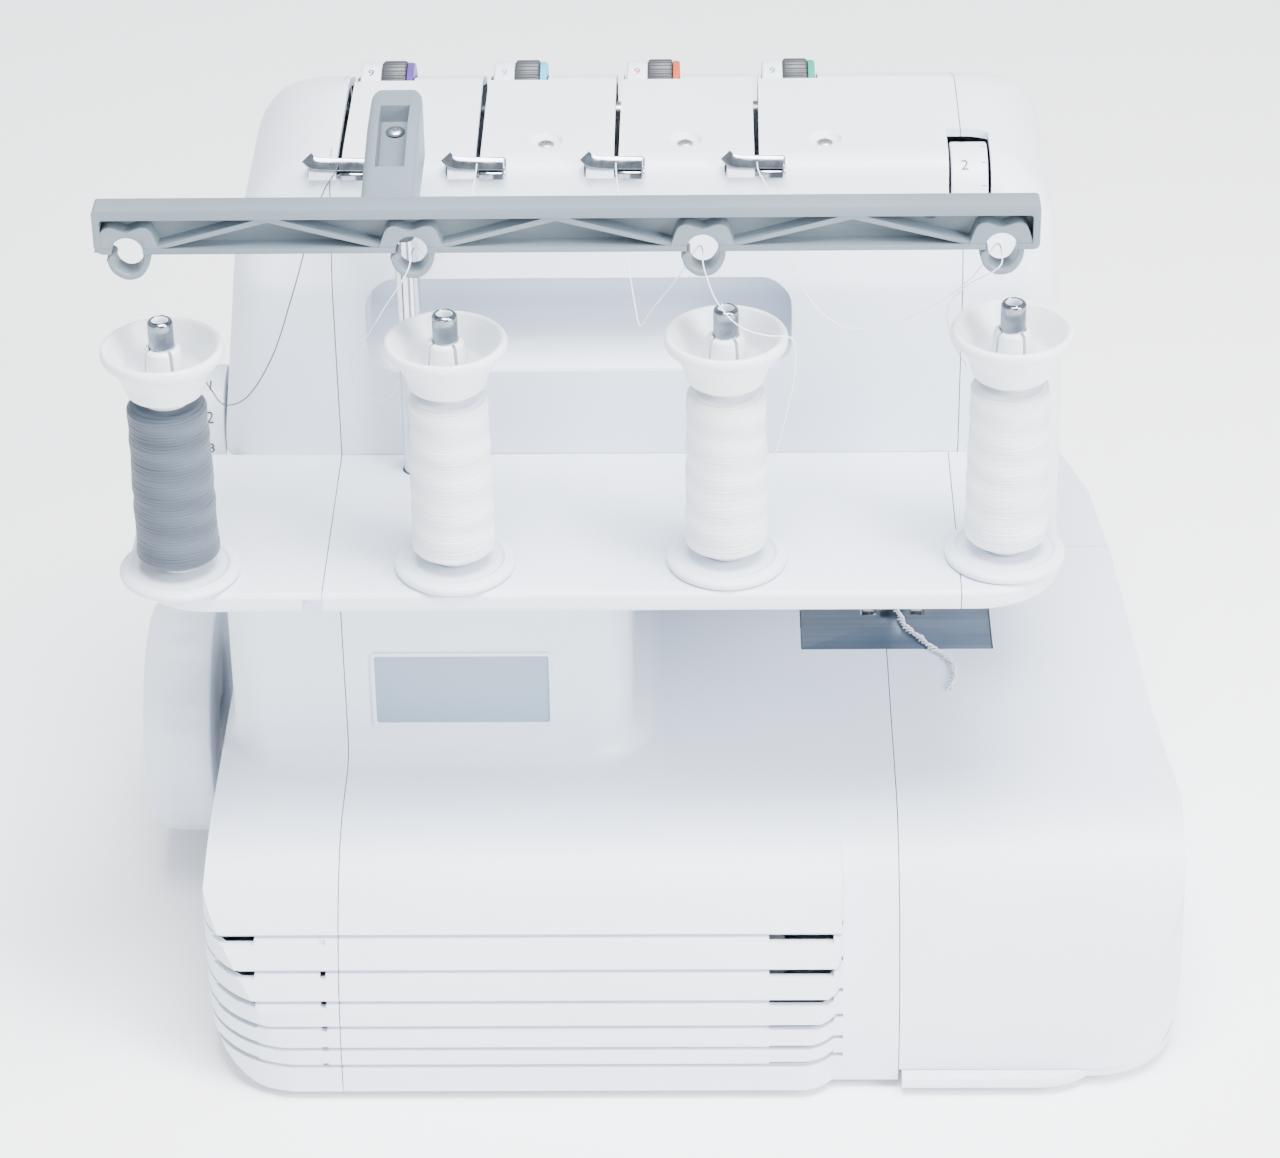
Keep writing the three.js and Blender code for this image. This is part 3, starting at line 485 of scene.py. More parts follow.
def wound(name, dark, light):
    """Wound thread: fine crossing helical strands, with painted shade where they dip, over bands of
    differing lay and darkness.
    """
    made = Surface(name, light, 0.7, Sheen_Weight=0.2)
    attribute = made.node("ShaderNodeAttribute", attribute_name="winding")
    parts = made.node("ShaderNodeSeparateXYZ")
    made.link(attribute.outputs["Vector"], parts.inputs["Vector"])

    def helix(lean, pitch):
        """0..1 wave along the height, shifted by `lean` waves for each turn about the spool."""
        tilt = made.node("ShaderNodeMath", operation="MULTIPLY")
        tilt.inputs[1].default_value = lean
        made.link(parts.outputs["X"], tilt.inputs[0])
        climb = made.node("ShaderNodeMath", operation="MULTIPLY_ADD")
        climb.inputs[1].default_value = pitch
        made.link(parts.outputs["Y"], climb.inputs[0])
        made.link(tilt.outputs[0], climb.inputs[2])
        wave = made.node("ShaderNodeMath", operation="SINE")
        made.link(climb.outputs[0], wave.inputs[0])
        level = made.node("ShaderNodeMapRange")
        level.inputs["From Min"].default_value = -1.0
        made.link(wave.outputs[0], level.inputs["Value"])
        return level.outputs["Result"]

    def blended(first, second, share):
        """Two values mixed, with `share` of the second."""
        mix = made.node("ShaderNodeMix", data_type="FLOAT")
        mix.inputs["Factor"].default_value = share
        made.link(first, mix.inputs["A"])
        made.link(second, mix.inputs["B"])
        return mix.outputs["Result"]

    strand_relief_and_shade = blended(helix(1.0, 9800.0), helix(-3.0, 6400.0), 0.45)
    bands = blended(helix(1.0, 640.0), made.noise(190, 2, (0.25, 0.25, 1)), 0.6)
    # The strand wave also darkens the base colour where the strands dip: painted shade in the
    # grooves between them.
    tone_and_painted_shade = blended(strand_relief_and_shade, bands, 0.55)
    made.tint(tone_and_painted_shade, dark, light, 0.15, 0.85)
    made.bump(strand_relief_and_shade, 0.35, 0.0001)
    return made.material


WHITE = moulded("white_casing_plastic", (0.64, 0.695, 0.78), (0.68, 0.735, 0.82), 0.36)
BAR = moulded("blue_grey_bar_plastic", (0.115, 0.15, 0.18), (0.14, 0.175, 0.205), 0.42, 0.2)
LABEL = moulded("label_plate", (0.22, 0.30, 0.38), (0.25, 0.33, 0.41), 0.3, 0.05)
DARK = moulded("dark_grip_plastic", (0.028, 0.032, 0.038), (0.04, 0.044, 0.05), 0.4)
CAP = moulded("milky_cap_plastic", (0.66, 0.70, 0.75), (0.72, 0.76, 0.80), 0.33, 0.05)
PIN = moulded("grey_pin_plastic", (0.36, 0.40, 0.46), (0.40, 0.44, 0.5), 0.4, 0.05)
INK = moulded("scale_ink", (0.05, 0.055, 0.065), (0.06, 0.065, 0.075), 0.5, 0.0)
MIRROR = brushed("dark_mirror_chrome", (0.16, 0.18, 0.21), (0.26, 0.29, 0.33), 0.1, (1, 1, 1))
CHROME = brushed("chromed_steel", (0.55, 0.58, 0.62), (0.64, 0.67, 0.70), 0.14, (1, 1, 1))
STEEL = brushed("bright_steel", (0.50, 0.52, 0.55), (0.62, 0.64, 0.66), 0.3, (0.05, 1, 1))
BLUED = brushed("blued_steel", (0.15, 0.18, 0.22), (0.21, 0.25, 0.30), 0.32, (0.05, 1, 1))
CAST = moulded("cast_frame", (0.30, 0.31, 0.33), (0.38, 0.39, 0.41), 0.6, 0.4)
RUBBER = moulded("black_rubber", (0.02, 0.02, 0.022), (0.03, 0.03, 0.032), 0.8, 0.3)
SLATE_THREAD = wound("slate_thread", (0.016, 0.024, 0.038), (0.075, 0.10, 0.14))
SLATE_YARN = moulded("slate_yarn", (0.05, 0.07, 0.10), (0.10, 0.13, 0.18), 0.8, 0.0)
WHITE_YARN = moulded("white_yarn", (0.66, 0.68, 0.72), (0.80, 0.82, 0.85), 0.8, 0.0)
WHITE_THREAD = wound("white_thread", (0.52, 0.56, 0.64), (0.84, 0.87, 0.90))


# ---------------------------------------------------------------- casing shapes

WALL = 2.5
GAP = 0.3
SHELF_Z = 77.0
SEAM_X = 96.0
FACE_SEAM_X = -97.0
BASE_SEAM_X = -77.5
FRONT_SEAM_Y = -39.0
LOOPER_SEAM_Y = -60.0
LOOPER_END_X = 58.0
RIM_Z = 7.0
SILL_Z = 15.0
UNDERSIDE_Z = 3.0
FAR = 400.0
CROWN_Z = 222.0
HEAD_CORNER = 13.0
GROOVE_DEPTH = 1.6
PAN_CLEARANCE = 3.6
PAN_FLOOR_Z = 5.5

HEAD_SILHOUETTE = [
    (-130, 128, 3), (133.5, 128, 3), (133.5, 172, 30), (123.5, 265.5, 34), (-124, 265.5, 28),
    (-129.8, 185, 30),
]
HEAD_PROFILE = [
    (-90, 128, 6), (35, 128, 3), (35, 229, 14), (22, 265.5, 9), (-37, 265.5, 6),
    (-62, 255, 9), (-92, 170, 20),
]
COLUMN = [(5.5, -88), (133, -88), (133, 67), (5.5, 67)]
COLUMN_TOP_Z = 163.0
BARREL_PLAN = [(-59.5, -144), (134, -144, 14), (140.5, 144.4, 32), (-59.5, 144.4, 14)]
NEEDLE_PLAN = [
    (-138.5, -144, 12), (0, -144), (0, 139), (-167.3, 139, 30), (-167.3, 98, 20),
    (-161.5, 37, 30), (-156.5, -56, 30), (-152, -98, 10),
]
BARREL_CENTRE = (95.0, 10.0)
BARREL_REACH = (49.3, 67.0)
NEEDLE_BASE_CENTRE = (86.0, 8.0)
NEEDLE_BASE_REACH = (53.0, 69.0)


def extent_at(flat, height):
    """Least and greatest first coordinate of a closed outline at a second coordinate."""
    ends = np.roll(flat, -1, axis=0)
    low = np.minimum(flat[:, 1], ends[:, 1]) <= height
    high = np.maximum(flat[:, 1], ends[:, 1]) >= height
    level = np.abs(ends[:, 1] - flat[:, 1]) > 1e-9
    use = low & high & level
    share = (height - flat[use, 1]) / (ends[use, 1] - flat[use, 1])
    across = flat[use, 0] + share * (ends[use, 0] - flat[use, 0])
    return across.min(), across.max()


def head_solid(name, inset):
    """Head as a loft: each level is a rounded rectangle between the silhouette and the profile.

    Levels crowd together near the rounded top by following a cosine.
    """
    silhouette = outline(HEAD_SILHOUETTE, inset, 24)
    profile = outline(HEAD_PROFILE, inset, 24)
    bottom, top = profile[:, 1].min() + 0.02, profile[:, 1].max() - 0.02
    straight = np.linspace(bottom, CROWN_Z, 26)[:-1]
    crown = CROWN_Z + (top - CROWN_Z) * np.sin(np.linspace(0, QUARTER, 44))
    sections = []
    for level in np.concatenate([straight, crown]):
        x0, x1 = extent_at(silhouette, level)
        y0, y1 = extent_at(profile, level)
        radius = max(HEAD_CORNER - inset, 1.0)
        plan = outline(
            [(x0, y0, radius), (x1, y0, radius), (x1, y1, radius), (x0, y1, radius)], 0, 8
        )
        sections.append(lift(plan, "z", level))
    return loft(name, sections)


def column_solid(name, inset):
    """Rear pillar and column: a rounded rectangle with a concave flare of 9 mm at the shelf."""
    flare = 9.0
    angle = np.linspace(0, QUARTER, 9)
    levels = np.concatenate([[20.0], SHELF_Z + flare - flare * np.cos(angle), [COLUMN_TOP_Z + 4]])
    spread = np.concatenate([[flare], flare - flare * np.sin(angle), [0.0]])
    sections = []
    for level, wide in zip(levels, spread):
        corners = [(x, y, HEAD_CORNER + wide) for x, y in COLUMN]
        sections.append(lift(outline(corners, inset - wide, 10), "z", level))
    return loft(name, sections)


def base_side(name, inset):
    """Side silhouette of the base along Y: the flanks lean in towards the shelf."""
    corners = [
        (-167.3, 3, 22), (140.5, 3, 24), (140.5, 40), (133.8, 110), (133.8, 180), (-170, 180),
        (-166, 60),
    ]
    return prism(name, outline(corners, inset, 12), "y", -FAR, FAR)


def base_profile(centre, reach, inset, end_y):
    """(y, z) outline of the base: level shelf and underside, and an elliptical rear.

    The rear is centre + (reach - inset) (cos t, sin t), down to just above the underside.
    """
    angle = np.linspace(QUARTER, -0.35, 34)
    rear = np.stack([
        centre[0] + (reach[0] - inset) * np.cos(angle),
        centre[1] + (reach[1] - inset) * np.sin(angle),
    ], axis=1)
    chamfer = 6
    rear = rear[rear[:, 1] > UNDERSIDE_Z + 0.2 + inset]
    lead = [(end_y + inset, UNDERSIDE_Z + inset), (end_y + inset, SHELF_Z - chamfer - inset)]
    front = [(end_y + chamfer + inset, SHELF_Z - inset)]
    tail = [(rear[-1, 0], UNDERSIDE_Z + inset)]
    return np.array(tail + lead + front + rear.tolist())[::-1]


def base_solid(name, inset):
    """Base slab: barrel profile and needle-side profile, each held inside its plan outline."""
    parts = []
    shapes = (
        (BARREL_PLAN, BARREL_CENTRE, BARREL_REACH),
        (NEEDLE_PLAN, NEEDLE_BASE_CENTRE, NEEDLE_BASE_REACH),
    )
    for plan, centre, reach in shapes:
        part = prism(name, base_profile(centre, reach, inset, -144), "x", -200, 200, True)
        keep(part, prism(name + "_plan", outline(plan, inset, 12), "z", -20, 120))
        parts.append(part)
    join(*parts)
    return keep(parts[0], base_side(name + "_side", inset))


def casing(name, inset):
    """Whole casing outline: base, column and head in one solid."""
    whole = base_solid(name, inset)
    column = column_solid(name + "_column", inset)
    keep(column, prism(name + "_clip", outline([
        (-40, 30), (140.5 - inset, 30), (133.8 - inset, 110), (133.8 - inset, 200), (-40, 200),
    ]), "y", -FAR, FAR))
    return join(whole, column, head_solid(name + "_head", inset))


# ---------------------------------------------------------------- tray, handle and head openings

TRAY_PLAN = [(-125, 33, 4), (156, 33, 8), (156, 118, 26), (-125, 118, 26)]
TRAY_UNDER, TRAY_TOP = 163.0, 170.0
TRAY_SEAM_X = -94.0
SLOTS_X = (93.1, 50.8, 8.6, -34.2)
DISHES_X = (73.0, 30.4, -12.3, -55.2)
DISH_Y = 8.0
HEAD_TOP = 265.5
HANDLE = (-44.9, 86.2, 199.4, 231.5)
LOUVRES_Z = (54.0, 44.4, 35.1, 26.9, 19.5, 13.2)
VENTS_Z = (49.4, 39.8, 31.0, 23.2, 16.4, 10.4)
MAST = (72.0, 44.0)


def tray_solid(name):
    """Tray slab with its upper and lower edges rounded over along an arc."""
    rounding = 2.4
    sections = []
    for angle in np.linspace(-QUARTER, QUARTER, 9):
        reach = rounding * (1 - math.cos(angle))
        middle = (TRAY_TOP - rounding) if angle > 0 else (TRAY_UNDER + rounding)
        level = middle + rounding * math.sin(angle)
        sections.append(lift(outline(TRAY_PLAN, reach, 14), "z", level))
    return loft(name, sections)


def handle_pocket(name, inset):
    """Pocket behind the carrying handle: deepest along the top, ramped out to its lower lip."""
    x0, x1, low, high = HANDLE
    low, high, x0, x1 = low - inset, high + inset, x0 - inset, x1 + inset
    opening = prism(
        name, outline([(x0, low, 10), (x1, low, 10), (x1, high, 10), (x0, high, 10)]), "y",
        -10, 38,
    )
    deep = 8 - inset
    ramp = outline([(33, low), (38, low), (38, high), (deep, high, 5), (deep, 214 - inset, 6)])
    return keep(opening, prism(name + "_ramp", ramp, "x", -80, 120))


def wedge(x, front, rear, wide_front, wide_rear, low, high):
    """Slot whose width changes from front to rear."""
    flat = [
        (x - wide_front / 2, front), (x + wide_front / 2, front),
        (x + wide_rear / 2, rear), (x - wide_rear / 2, rear),
    ]
    return prism("slot", flat, "z", low, high)


def cut_head(piece):
    """Slots, guide notches, dial windows and screw dishes through the top of the head."""
    for x in SLOTS_X:
        tools = [
            wedge(x, -70, 20, 2.1, 1.5, 240, 280),
            block("notch", (x - 8.7, 19, 260.5), (x + 9.8, 60, 280)),
            block("dial_window", (x - 19.8, -90, 236), (x - 1.4, FRONT_SEAM_Y + 3.5, 280)),
        ]
        cut(piece, *tools)
    cut(piece, block("scale_window", (-105.5, 2, 244), (-92.5, 60, 280)))
    dish = [(0, -1.7), (2.6, -1.6), (4.4, -1.0), (5.3, 0), (5.3, 14), (0, 14)]
    for x in DISHES_X:
        cut(piece, turned("dish", dish, "z", (x, DISH_Y, HEAD_TOP), 40))


def cut_louvres(piece, skin):
    """Grooves between the louvre steps, as deep as `skin` lies under the casing's surface."""
    x0, x1 = piece_span(piece)
    for z in LOUVRES_Z:
        slab = block("groove", (max(x0 - 2, -60), 62, z - 0.7), (x1 + 5, 152, z + 0.7))
        cut(slab, copy(skin, "skin_tool"))
        cut(piece, slab)


def piece_span(piece):
    """Least and greatest X of a piece in millimetres."""
    places = np.empty(len(piece.data.vertices) * 3)
    piece.data.vertices.foreach_get("co", places)
    across = places.reshape(-1, 3)[:, 0] / MM
    return across.min(), across.max()


def needle_end_vents():
    """Open air slots between the lower steps at the needle end, square at one end."""
    return [block("vent", (-57, 118, z + 2.4), (-37, 152, z + 4.1)) for z in VENTS_Z]


def handwheel_end_vents():
    """Slots that run round the handwheel-side rear corner, and the small holes by the seam."""
    slots = [block("vent", (122, 128, z + 2.4), (150, 152, z + 4.1)) for z in VENTS_Z]
    holes = [block("hole", (100.0, 132, z + 2.2), (101.8, 152, z + 4.0)) for z in VENTS_Z]
    return slots + holes


# ---------------------------------------------------------------- casing pieces

def make_casings():
    """Splits the casing shell along its seams and opens everything moulded into it."""
    outer = casing("casing_outer", 0)
    inner = casing("casing_inner", WALL)
    groove_floor = casing("casing_groove_floor", GROOVE_DEPTH)
    shell = copy(outer, "casing_shell")
    cut(shell, copy(inner, "inner_tool"))
    gap = GAP / 2
    above = SHELF_Z + 1

    rear = copy(shell, "rear_casing")
    region = block(
        "head_region", (FACE_SEAM_X + gap, FRONT_SEAM_Y + gap, above), (SEAM_X - gap, 300, 320)
    )
    low_region = block(
        "base_region", (BASE_SEAM_X + gap, LOOPER_SEAM_Y + gap, -5),
        (SEAM_X - gap, 300, above + 0.01),
    )
    keep(rear, join(region, low_region))
    cut(rear, block("corner", (LOOPER_END_X, -300, -5), (300, LOOPER_SEAM_Y + gap, above + 1)))
    pocket_wall = handle_pocket("pocket_wall", WALL)
    keep(pocket_wall, copy(outer, "outer_tool"))
    join(rear, pocket_wall)
    cut(rear, handle_pocket("pocket", 0))
    cut_head(rear)
    cut(rear, block("strip", (SLOTS_X[0], FRONT_SEAM_Y, 240), (SEAM_X + 1, 12, 280)))
    cut(rear, plate_hole(), block("under", (-200, -200, -5), (200, 200, 3.3)))
    mast_hole = [(0, 100), (4.35, 100), (4.35, 180), (0, 180)]
    cut(rear, turned("mast_hole", mast_hole, "z", (*MAST, 0), 48))
    cut_louvres(rear, groove_floor)
    cut(rear, *needle_end_vents())
    finish_casing(rear, "rear_housing")

    side = copy(shell, "handwheel_end_cover")
    region = block("side_region", (SEAM_X + gap, -300, 3.3), (300, 300, 320))
    strip = block("strip", (SLOTS_X[0], FRONT_SEAM_Y + gap, 240), (SEAM_X + 1, 12, 280))
    join(region, strip)
    tray_end = keep(tray_solid("tray_handwheel_end"), copy(region, "region_tool"))
    keep(side, region)
    join(side, tray_end)
    cut_head(side)
    hole = [(0, 120), (8, 120), (8, 150), (0, 150)]
    shaft_hole = [(0, 120), (12, 120), (12, 150), (0, 150)]
    cut(
        side, turned("dial_hole", hole, "x", (0, 0, 165), 48),
        turned("wheel_hole", shaft_hole, "x", (0, 0, 50), 64),
        block("switch_hole", (130, -96, 26), (150, -76, 40)),
        block("inlet_hole", (130, -66, 22), (150, -42, 44)),
        block("latch_notch", (SEAM_X, 112.5, 162), (SEAM_X + 6, 123, 168)),
        copy(inner, "inner_tool"),
    )
    cut_louvres(side, groove_floor)
    cut(side, *handwheel_end_vents())
    finish_casing(side, "handwheel_side_cover")

    face = copy(shell, "face_end_cover")
    keep(face, block("face_region", (-300, -300, above), (FACE_SEAM_X - gap, 300, 320)))
    tray_end = keep(
        tray_solid("tray_needle_end"),
        block("tray_region", (-300, -300, 100), (TRAY_SEAM_X - gap, 300, 200)),
    )
    cut(tray_end, block("notch", (FACE_SEAM_X - gap, 0, 100), (0, 35.3, 200)))
    join(face, tray_end)
    cut_head(face)
    cut(face, copy(inner, "inner_tool"))
    finish_casing(face, "face_cover")

    front = copy(shell, "front_wall")
    region = block(
        "front_region", (FACE_SEAM_X + gap, -300, above + GAP),
        (SEAM_X - gap, FRONT_SEAM_Y - gap, 320),
    )
    low_region = block(
        "front_base_region", (LOOPER_END_X + gap, -300, UNDERSIDE_Z + GAP),
        (SEAM_X - gap, LOOPER_SEAM_Y - gap, above + 1),
    )
    keep(front, join(region, low_region))
    cut_head(front)
    finish_casing(front, "front_panel")

    base = copy(shell, "needle_end_base")
    keep(base, block(
        "needle_region", (-300, LOOPER_SEAM_Y + gap, RIM_Z + GAP), (BASE_SEAM_X - gap, 300, above)
    ))
    cut(base, plate_hole())
    finish_casing(base, "needle_side_base_cover")

    door = copy(shell, "looper_door")
    keep(door, block(
        "door_region", (-300, -300, SILL_Z + GAP), (LOOPER_END_X - gap, LOOPER_SEAM_Y - gap, above)
    ))
    cut(door, block("column_space", (4.9, -88.6, 60), (LOOPER_END_X, 67, 100)), plate_hole())
    finish_casing(door, "looper_cover", "front_door")

    tray = keep(
        tray_solid("spool_shelf"),
        block("tray_region", (TRAY_SEAM_X + gap, 35.3, 100), (SEAM_X - gap, 300, 200)),
    )
    cut(tray, turned("mast_hole", mast_hole, "z", (*MAST, 0), 48))
    finish_casing(tray, "spool_tray")
    for tool in (outer, inner, groove_floor, shell):
        bpy.data.meshes.remove(tool.data)


def plate_hole():
    """Opening in the base that the needle plate lies in."""
    return block("plate_hole", (-112.8, -78, 60), (-49.2, 4.7, 80))


def finish_casing(piece, node, body="root"):
    """Shades a cover, paints it white and names the node it stands for."""
    shade(piece, 28)
    dress(piece, body, WHITE, [node])


# ---------------------------------------------------------------- spools, pins and caps

# Spool pin x and y, and the x of the hook above it, from the handwheel side on.
STATIONS = (
    (139.3, 105.0, 147.1), (57.1, 102.0, 65.6), (-24.4, 99.5, -17.8), (-107.8, 97.0, -103.1),
)
WOUND_FOOT, WOUND_HEIGHT = 176.3, 53.2
WOUND_RADIUS, WOUND_CORE = 12.0, 7.05
WOUND_EDGE = 2.5


def winding_attribute(piece, centre, foot):
    """Stores each corner's turn about the spool and its height, for the wound-thread finish."""
    mesh = piece.data
    places = np.empty(len(mesh.vertices) * 3)
    mesh.vertices.foreach_get("co", places)
    places = places.reshape(-1, 3)
    turn = np.arctan2(places[:, 1] - centre[1] * MM, places[:, 0] - centre[0] * MM)
    values = np.stack([turn, places[:, 2] - foot * MM, np.zeros(len(turn))], axis=1)
    mesh.attributes.new("winding", "FLOAT_VECTOR", "POINT").data.foreach_set(
        "vector", values.astype(np.float32).ravel()
    )


def wound_body(name, x, y, phase):
    """Wound thread, with angle t about the spool and share s (0 to 1) of its height h.

    r = core + (radius (1 - 0.06 (s - 1/2)) + bands + ridges - core) * taper. The bands are slow
    sine waves of 0.16 mm along h and t, the ridges two crossing helices of 0.05 mm, and the
    taper turns each end over as a quarter circle.
    """
    rows, segments = 240, 128
    share = np.linspace(0, 1, rows)[:, None]
    turn = (2 * math.pi * np.arange(segments) / segments)[None, :]
    height = WOUND_FOOT + WOUND_HEIGHT * share
    bands = 0.16 * np.sin(height * 0.52 + phase + 1.3 * np.sin(height * 0.31 + phase)
                          + 0.5 * np.sin(turn + phase))
    ridges = 0.05 * np.sin(height * 5.2 + turn) + 0.05 * np.sin(height * 3.1 - 2 * turn + phase)
    edge = np.minimum(share, 1 - share) * WOUND_HEIGHT
    taper = np.sqrt(np.clip(1 - (1 - np.clip(edge / WOUND_EDGE, 0, 1)) ** 2, 0, 1))
    lean = 1 - 0.06 * (share - 0.5)
    radius = WOUND_CORE + (WOUND_RADIUS * lean + bands + ridges - WOUND_CORE) * taper
    points = np.stack([
        x + radius * np.cos(turn), y + radius * np.sin(turn),
        np.broadcast_to(height, radius.shape),
    ], axis=2)
    piece = loft(name, points)
    winding_attribute(piece, (x, y), WOUND_FOOT)
    return piece


def make_spool_stand(number, x, y):
    """Spool rest with its pin, the wound spool on its neck and the cup cap with split collet."""
    rest = turned(f"spool_rest_{number}", rounded_profile([
        (0, 170.3), (18.0, 170.3, 0.8), (18.2, 172.4, 0.9), (15.2, 173.3, 0.7), (14.4, 172.7, 0.5),
        (4.2, 172.9, 0.6), (3.4, 174.4, 0.3), (3.4, 255.2, 0.7), (2.2, 255.8, 0.3),
        (1.9, 254.9, 0.3), (1.8, 249.0), (0, 249.0),
    ]), "z", (x, y, 0), 72)
    dress(rest, "root", WHITE, [f"spool_pin_{number}"])
    sleeve = turned(f"pin_sleeve_{number}", rounded_profile([
        (2.2, 247.5), (3.75, 247.5, 0.1), (3.75, 255.4, 0.6), (2.6, 256.1, 0.3), (2.2, 255.2),
    ]), "z", (x, y, 0), 48)
    dress(sleeve, "root", MIRROR)
    core = turned(f"spool_core_{number}", rounded_profile([
        (3.9, 173.6), (6.6, 173.6, 0.5), (7.0, 176.2, 0.5), (7.0, 229.6, 0.5), (6.4, 231.6, 0.4),
        (3.9, 231.6),
    ]), "z", (x, y, 0), 56)
    dress(core, "root", CAP)
    slate = number == 1
    body = wound_body(f"wound_thread_{number}", x, y, number * 1.7)
    dress(
        body, "root", SLATE_THREAD if slate else WHITE_THREAD,
        [f"thread_spool_{number}"],
    )
    cup = turned(f"spool_cup_{number}", rounded_profile([
        (4.0, 232.0), (9.6, 232.0, 0.8), (11.4, 232.6, 0.9), (12.6, 237.0, 2.0),
        (15.6, 243.0, 2.0), (17.9, 244.0, 0.8), (18.2, 246.2, 0.9), (17.6, 247.6, 0.7),
        (16.2, 247.5, 0.9), (13.0, 242.6, 2.5), (10.6, 239.0, 1.2), (6.4, 238.0, 0.6),
        (4.0, 238.0),
    ], 5), "z", (x, y, 0), 96)
    collet = turned("collet", rounded_profile([
        (4.0, 236.5), (6.3, 236.5), (5.4, 246.6, 0.8), (4.0, 247.2),
    ]), "z", (x, y, 0), 64)
    for slot_turn in (0.6, 0.6 + QUARTER):
        across = 7.5 * np.array([math.cos(slot_turn), math.sin(slot_turn)])
        side = 0.55 * np.array([-math.sin(slot_turn), math.cos(slot_turn)])
        middle = np.array([x, y])
        flat = [middle + across + side, middle - across + side, middle - across - side,
                middle + across - side]
        cut(collet, prism("slit", flat, "z", 239, 252))
    shade(collet, 35)
    dress(cup, "root", CAP, [f"spool_cap_{number}"])
    dress(collet, "root", CAP)
    collet.name = collet.data.name = f"cap_collet_{number}"


# ---------------------------------------------------------------- mast and thread bar

BAR_Y, BAR_LOW, BAR_HIGH = 101.0, 277.0, 291.0
BAR_LEFT, BAR_RIGHT = -114.0, 156.5


def make_mast():
    """Chromed mast and the sloping bracket on top, with its recess, hollow and clamp screw."""
    tube = turned("mast_tube_chromed", rounded_profile([
        (0, 34), (3.75, 34, 0.4), (3.75, 152, 0.05), (3.75, 279, 0.3), (3.0, 281, 0.3), (0, 281),
    ]), "z", (*MAST, 0), 56)
    dress(tube, "mast", CHROME, ["mast_tube"])
    side = [
        (36.5, 276, 2), (97.2, 276, 1), (97.2, 290.6, 2), (90, 290.6, 6), (60, 297, 8),
        (36.5, 297, 2.4),
    ]
    sections = []
    for inset, x in ((2.2, 65.0), (1.0, 65.35), (0.3, 66.2), (0, 67.6), (0, 77.8), (0.3, 79.2),
                     (1.0, 80.05), (2.2, 80.4)):
        sections.append(lift(outline(side, inset, 8), "x", x))
    bracket = loft("mast_clamp", sections)
    plan = prism("plan", outline([
        (65, 36.5, 7.4), (80.4, 36.5, 7.4), (80.4, 98), (65, 98),
    ], 0, 10), "z", 270, 300)
    keep(bracket, plan)
    recess = prism(
        "recess", outline([(49, 300), (49, 291.6), (71, 286.2), (92, 300)]), "x", 68.4, 77.0
    )
    cut(bracket, recess)
    bore = [(0, 270), (3.85, 270), (3.85, 282.4), (0, 282.4)]
    cut(bracket, turned("bore", bore, "z", (*MAST, 0), 40))
    under = [(52, 270), (92, 270), (92, 281), (62, 284), (52, 284)]
    cut(bracket, prism("hollow", under, "x", 67.6, 77.8))
    shade(bracket, 35)
    dress(bracket, "mast", BAR, ["mast_bracket"])
    screw = cross_screw("clamp_screw", (72.7, 53.6, 290.3), "z", 2.9)
    dress(screw, "mast", STEEL)


def cross_screw(name, centre, axis, radius, height=1.5):
    """Pan-head screw with a cross recess and its crown turned over towards the rim."""
    screw = turned(name, rounded_profile([
        (0, 0), (radius, 0, 0.2), (radius, height * 0.45, 0.5), (radius * 0.6, height * 0.93, 0.5),
        (0, height),
    ]), axis, centre, 40)
    wide, slim, floor = radius * 0.62, radius * 0.13, height * 0.35
    order = {"x": (2, 0, 1), "y": (1, 2, 0), "z": (0, 1, 2)}[axis]
    for a, b in ((wide, slim), (slim, wide)):
        low = np.array((-a, -b, floor))[list(order)] + np.array(centre)
        high = np.array((a, b, height + 1))[list(order)] + np.array(centre)
        cut(screw, block("recess", low, high))
    return shade(screw, 35)


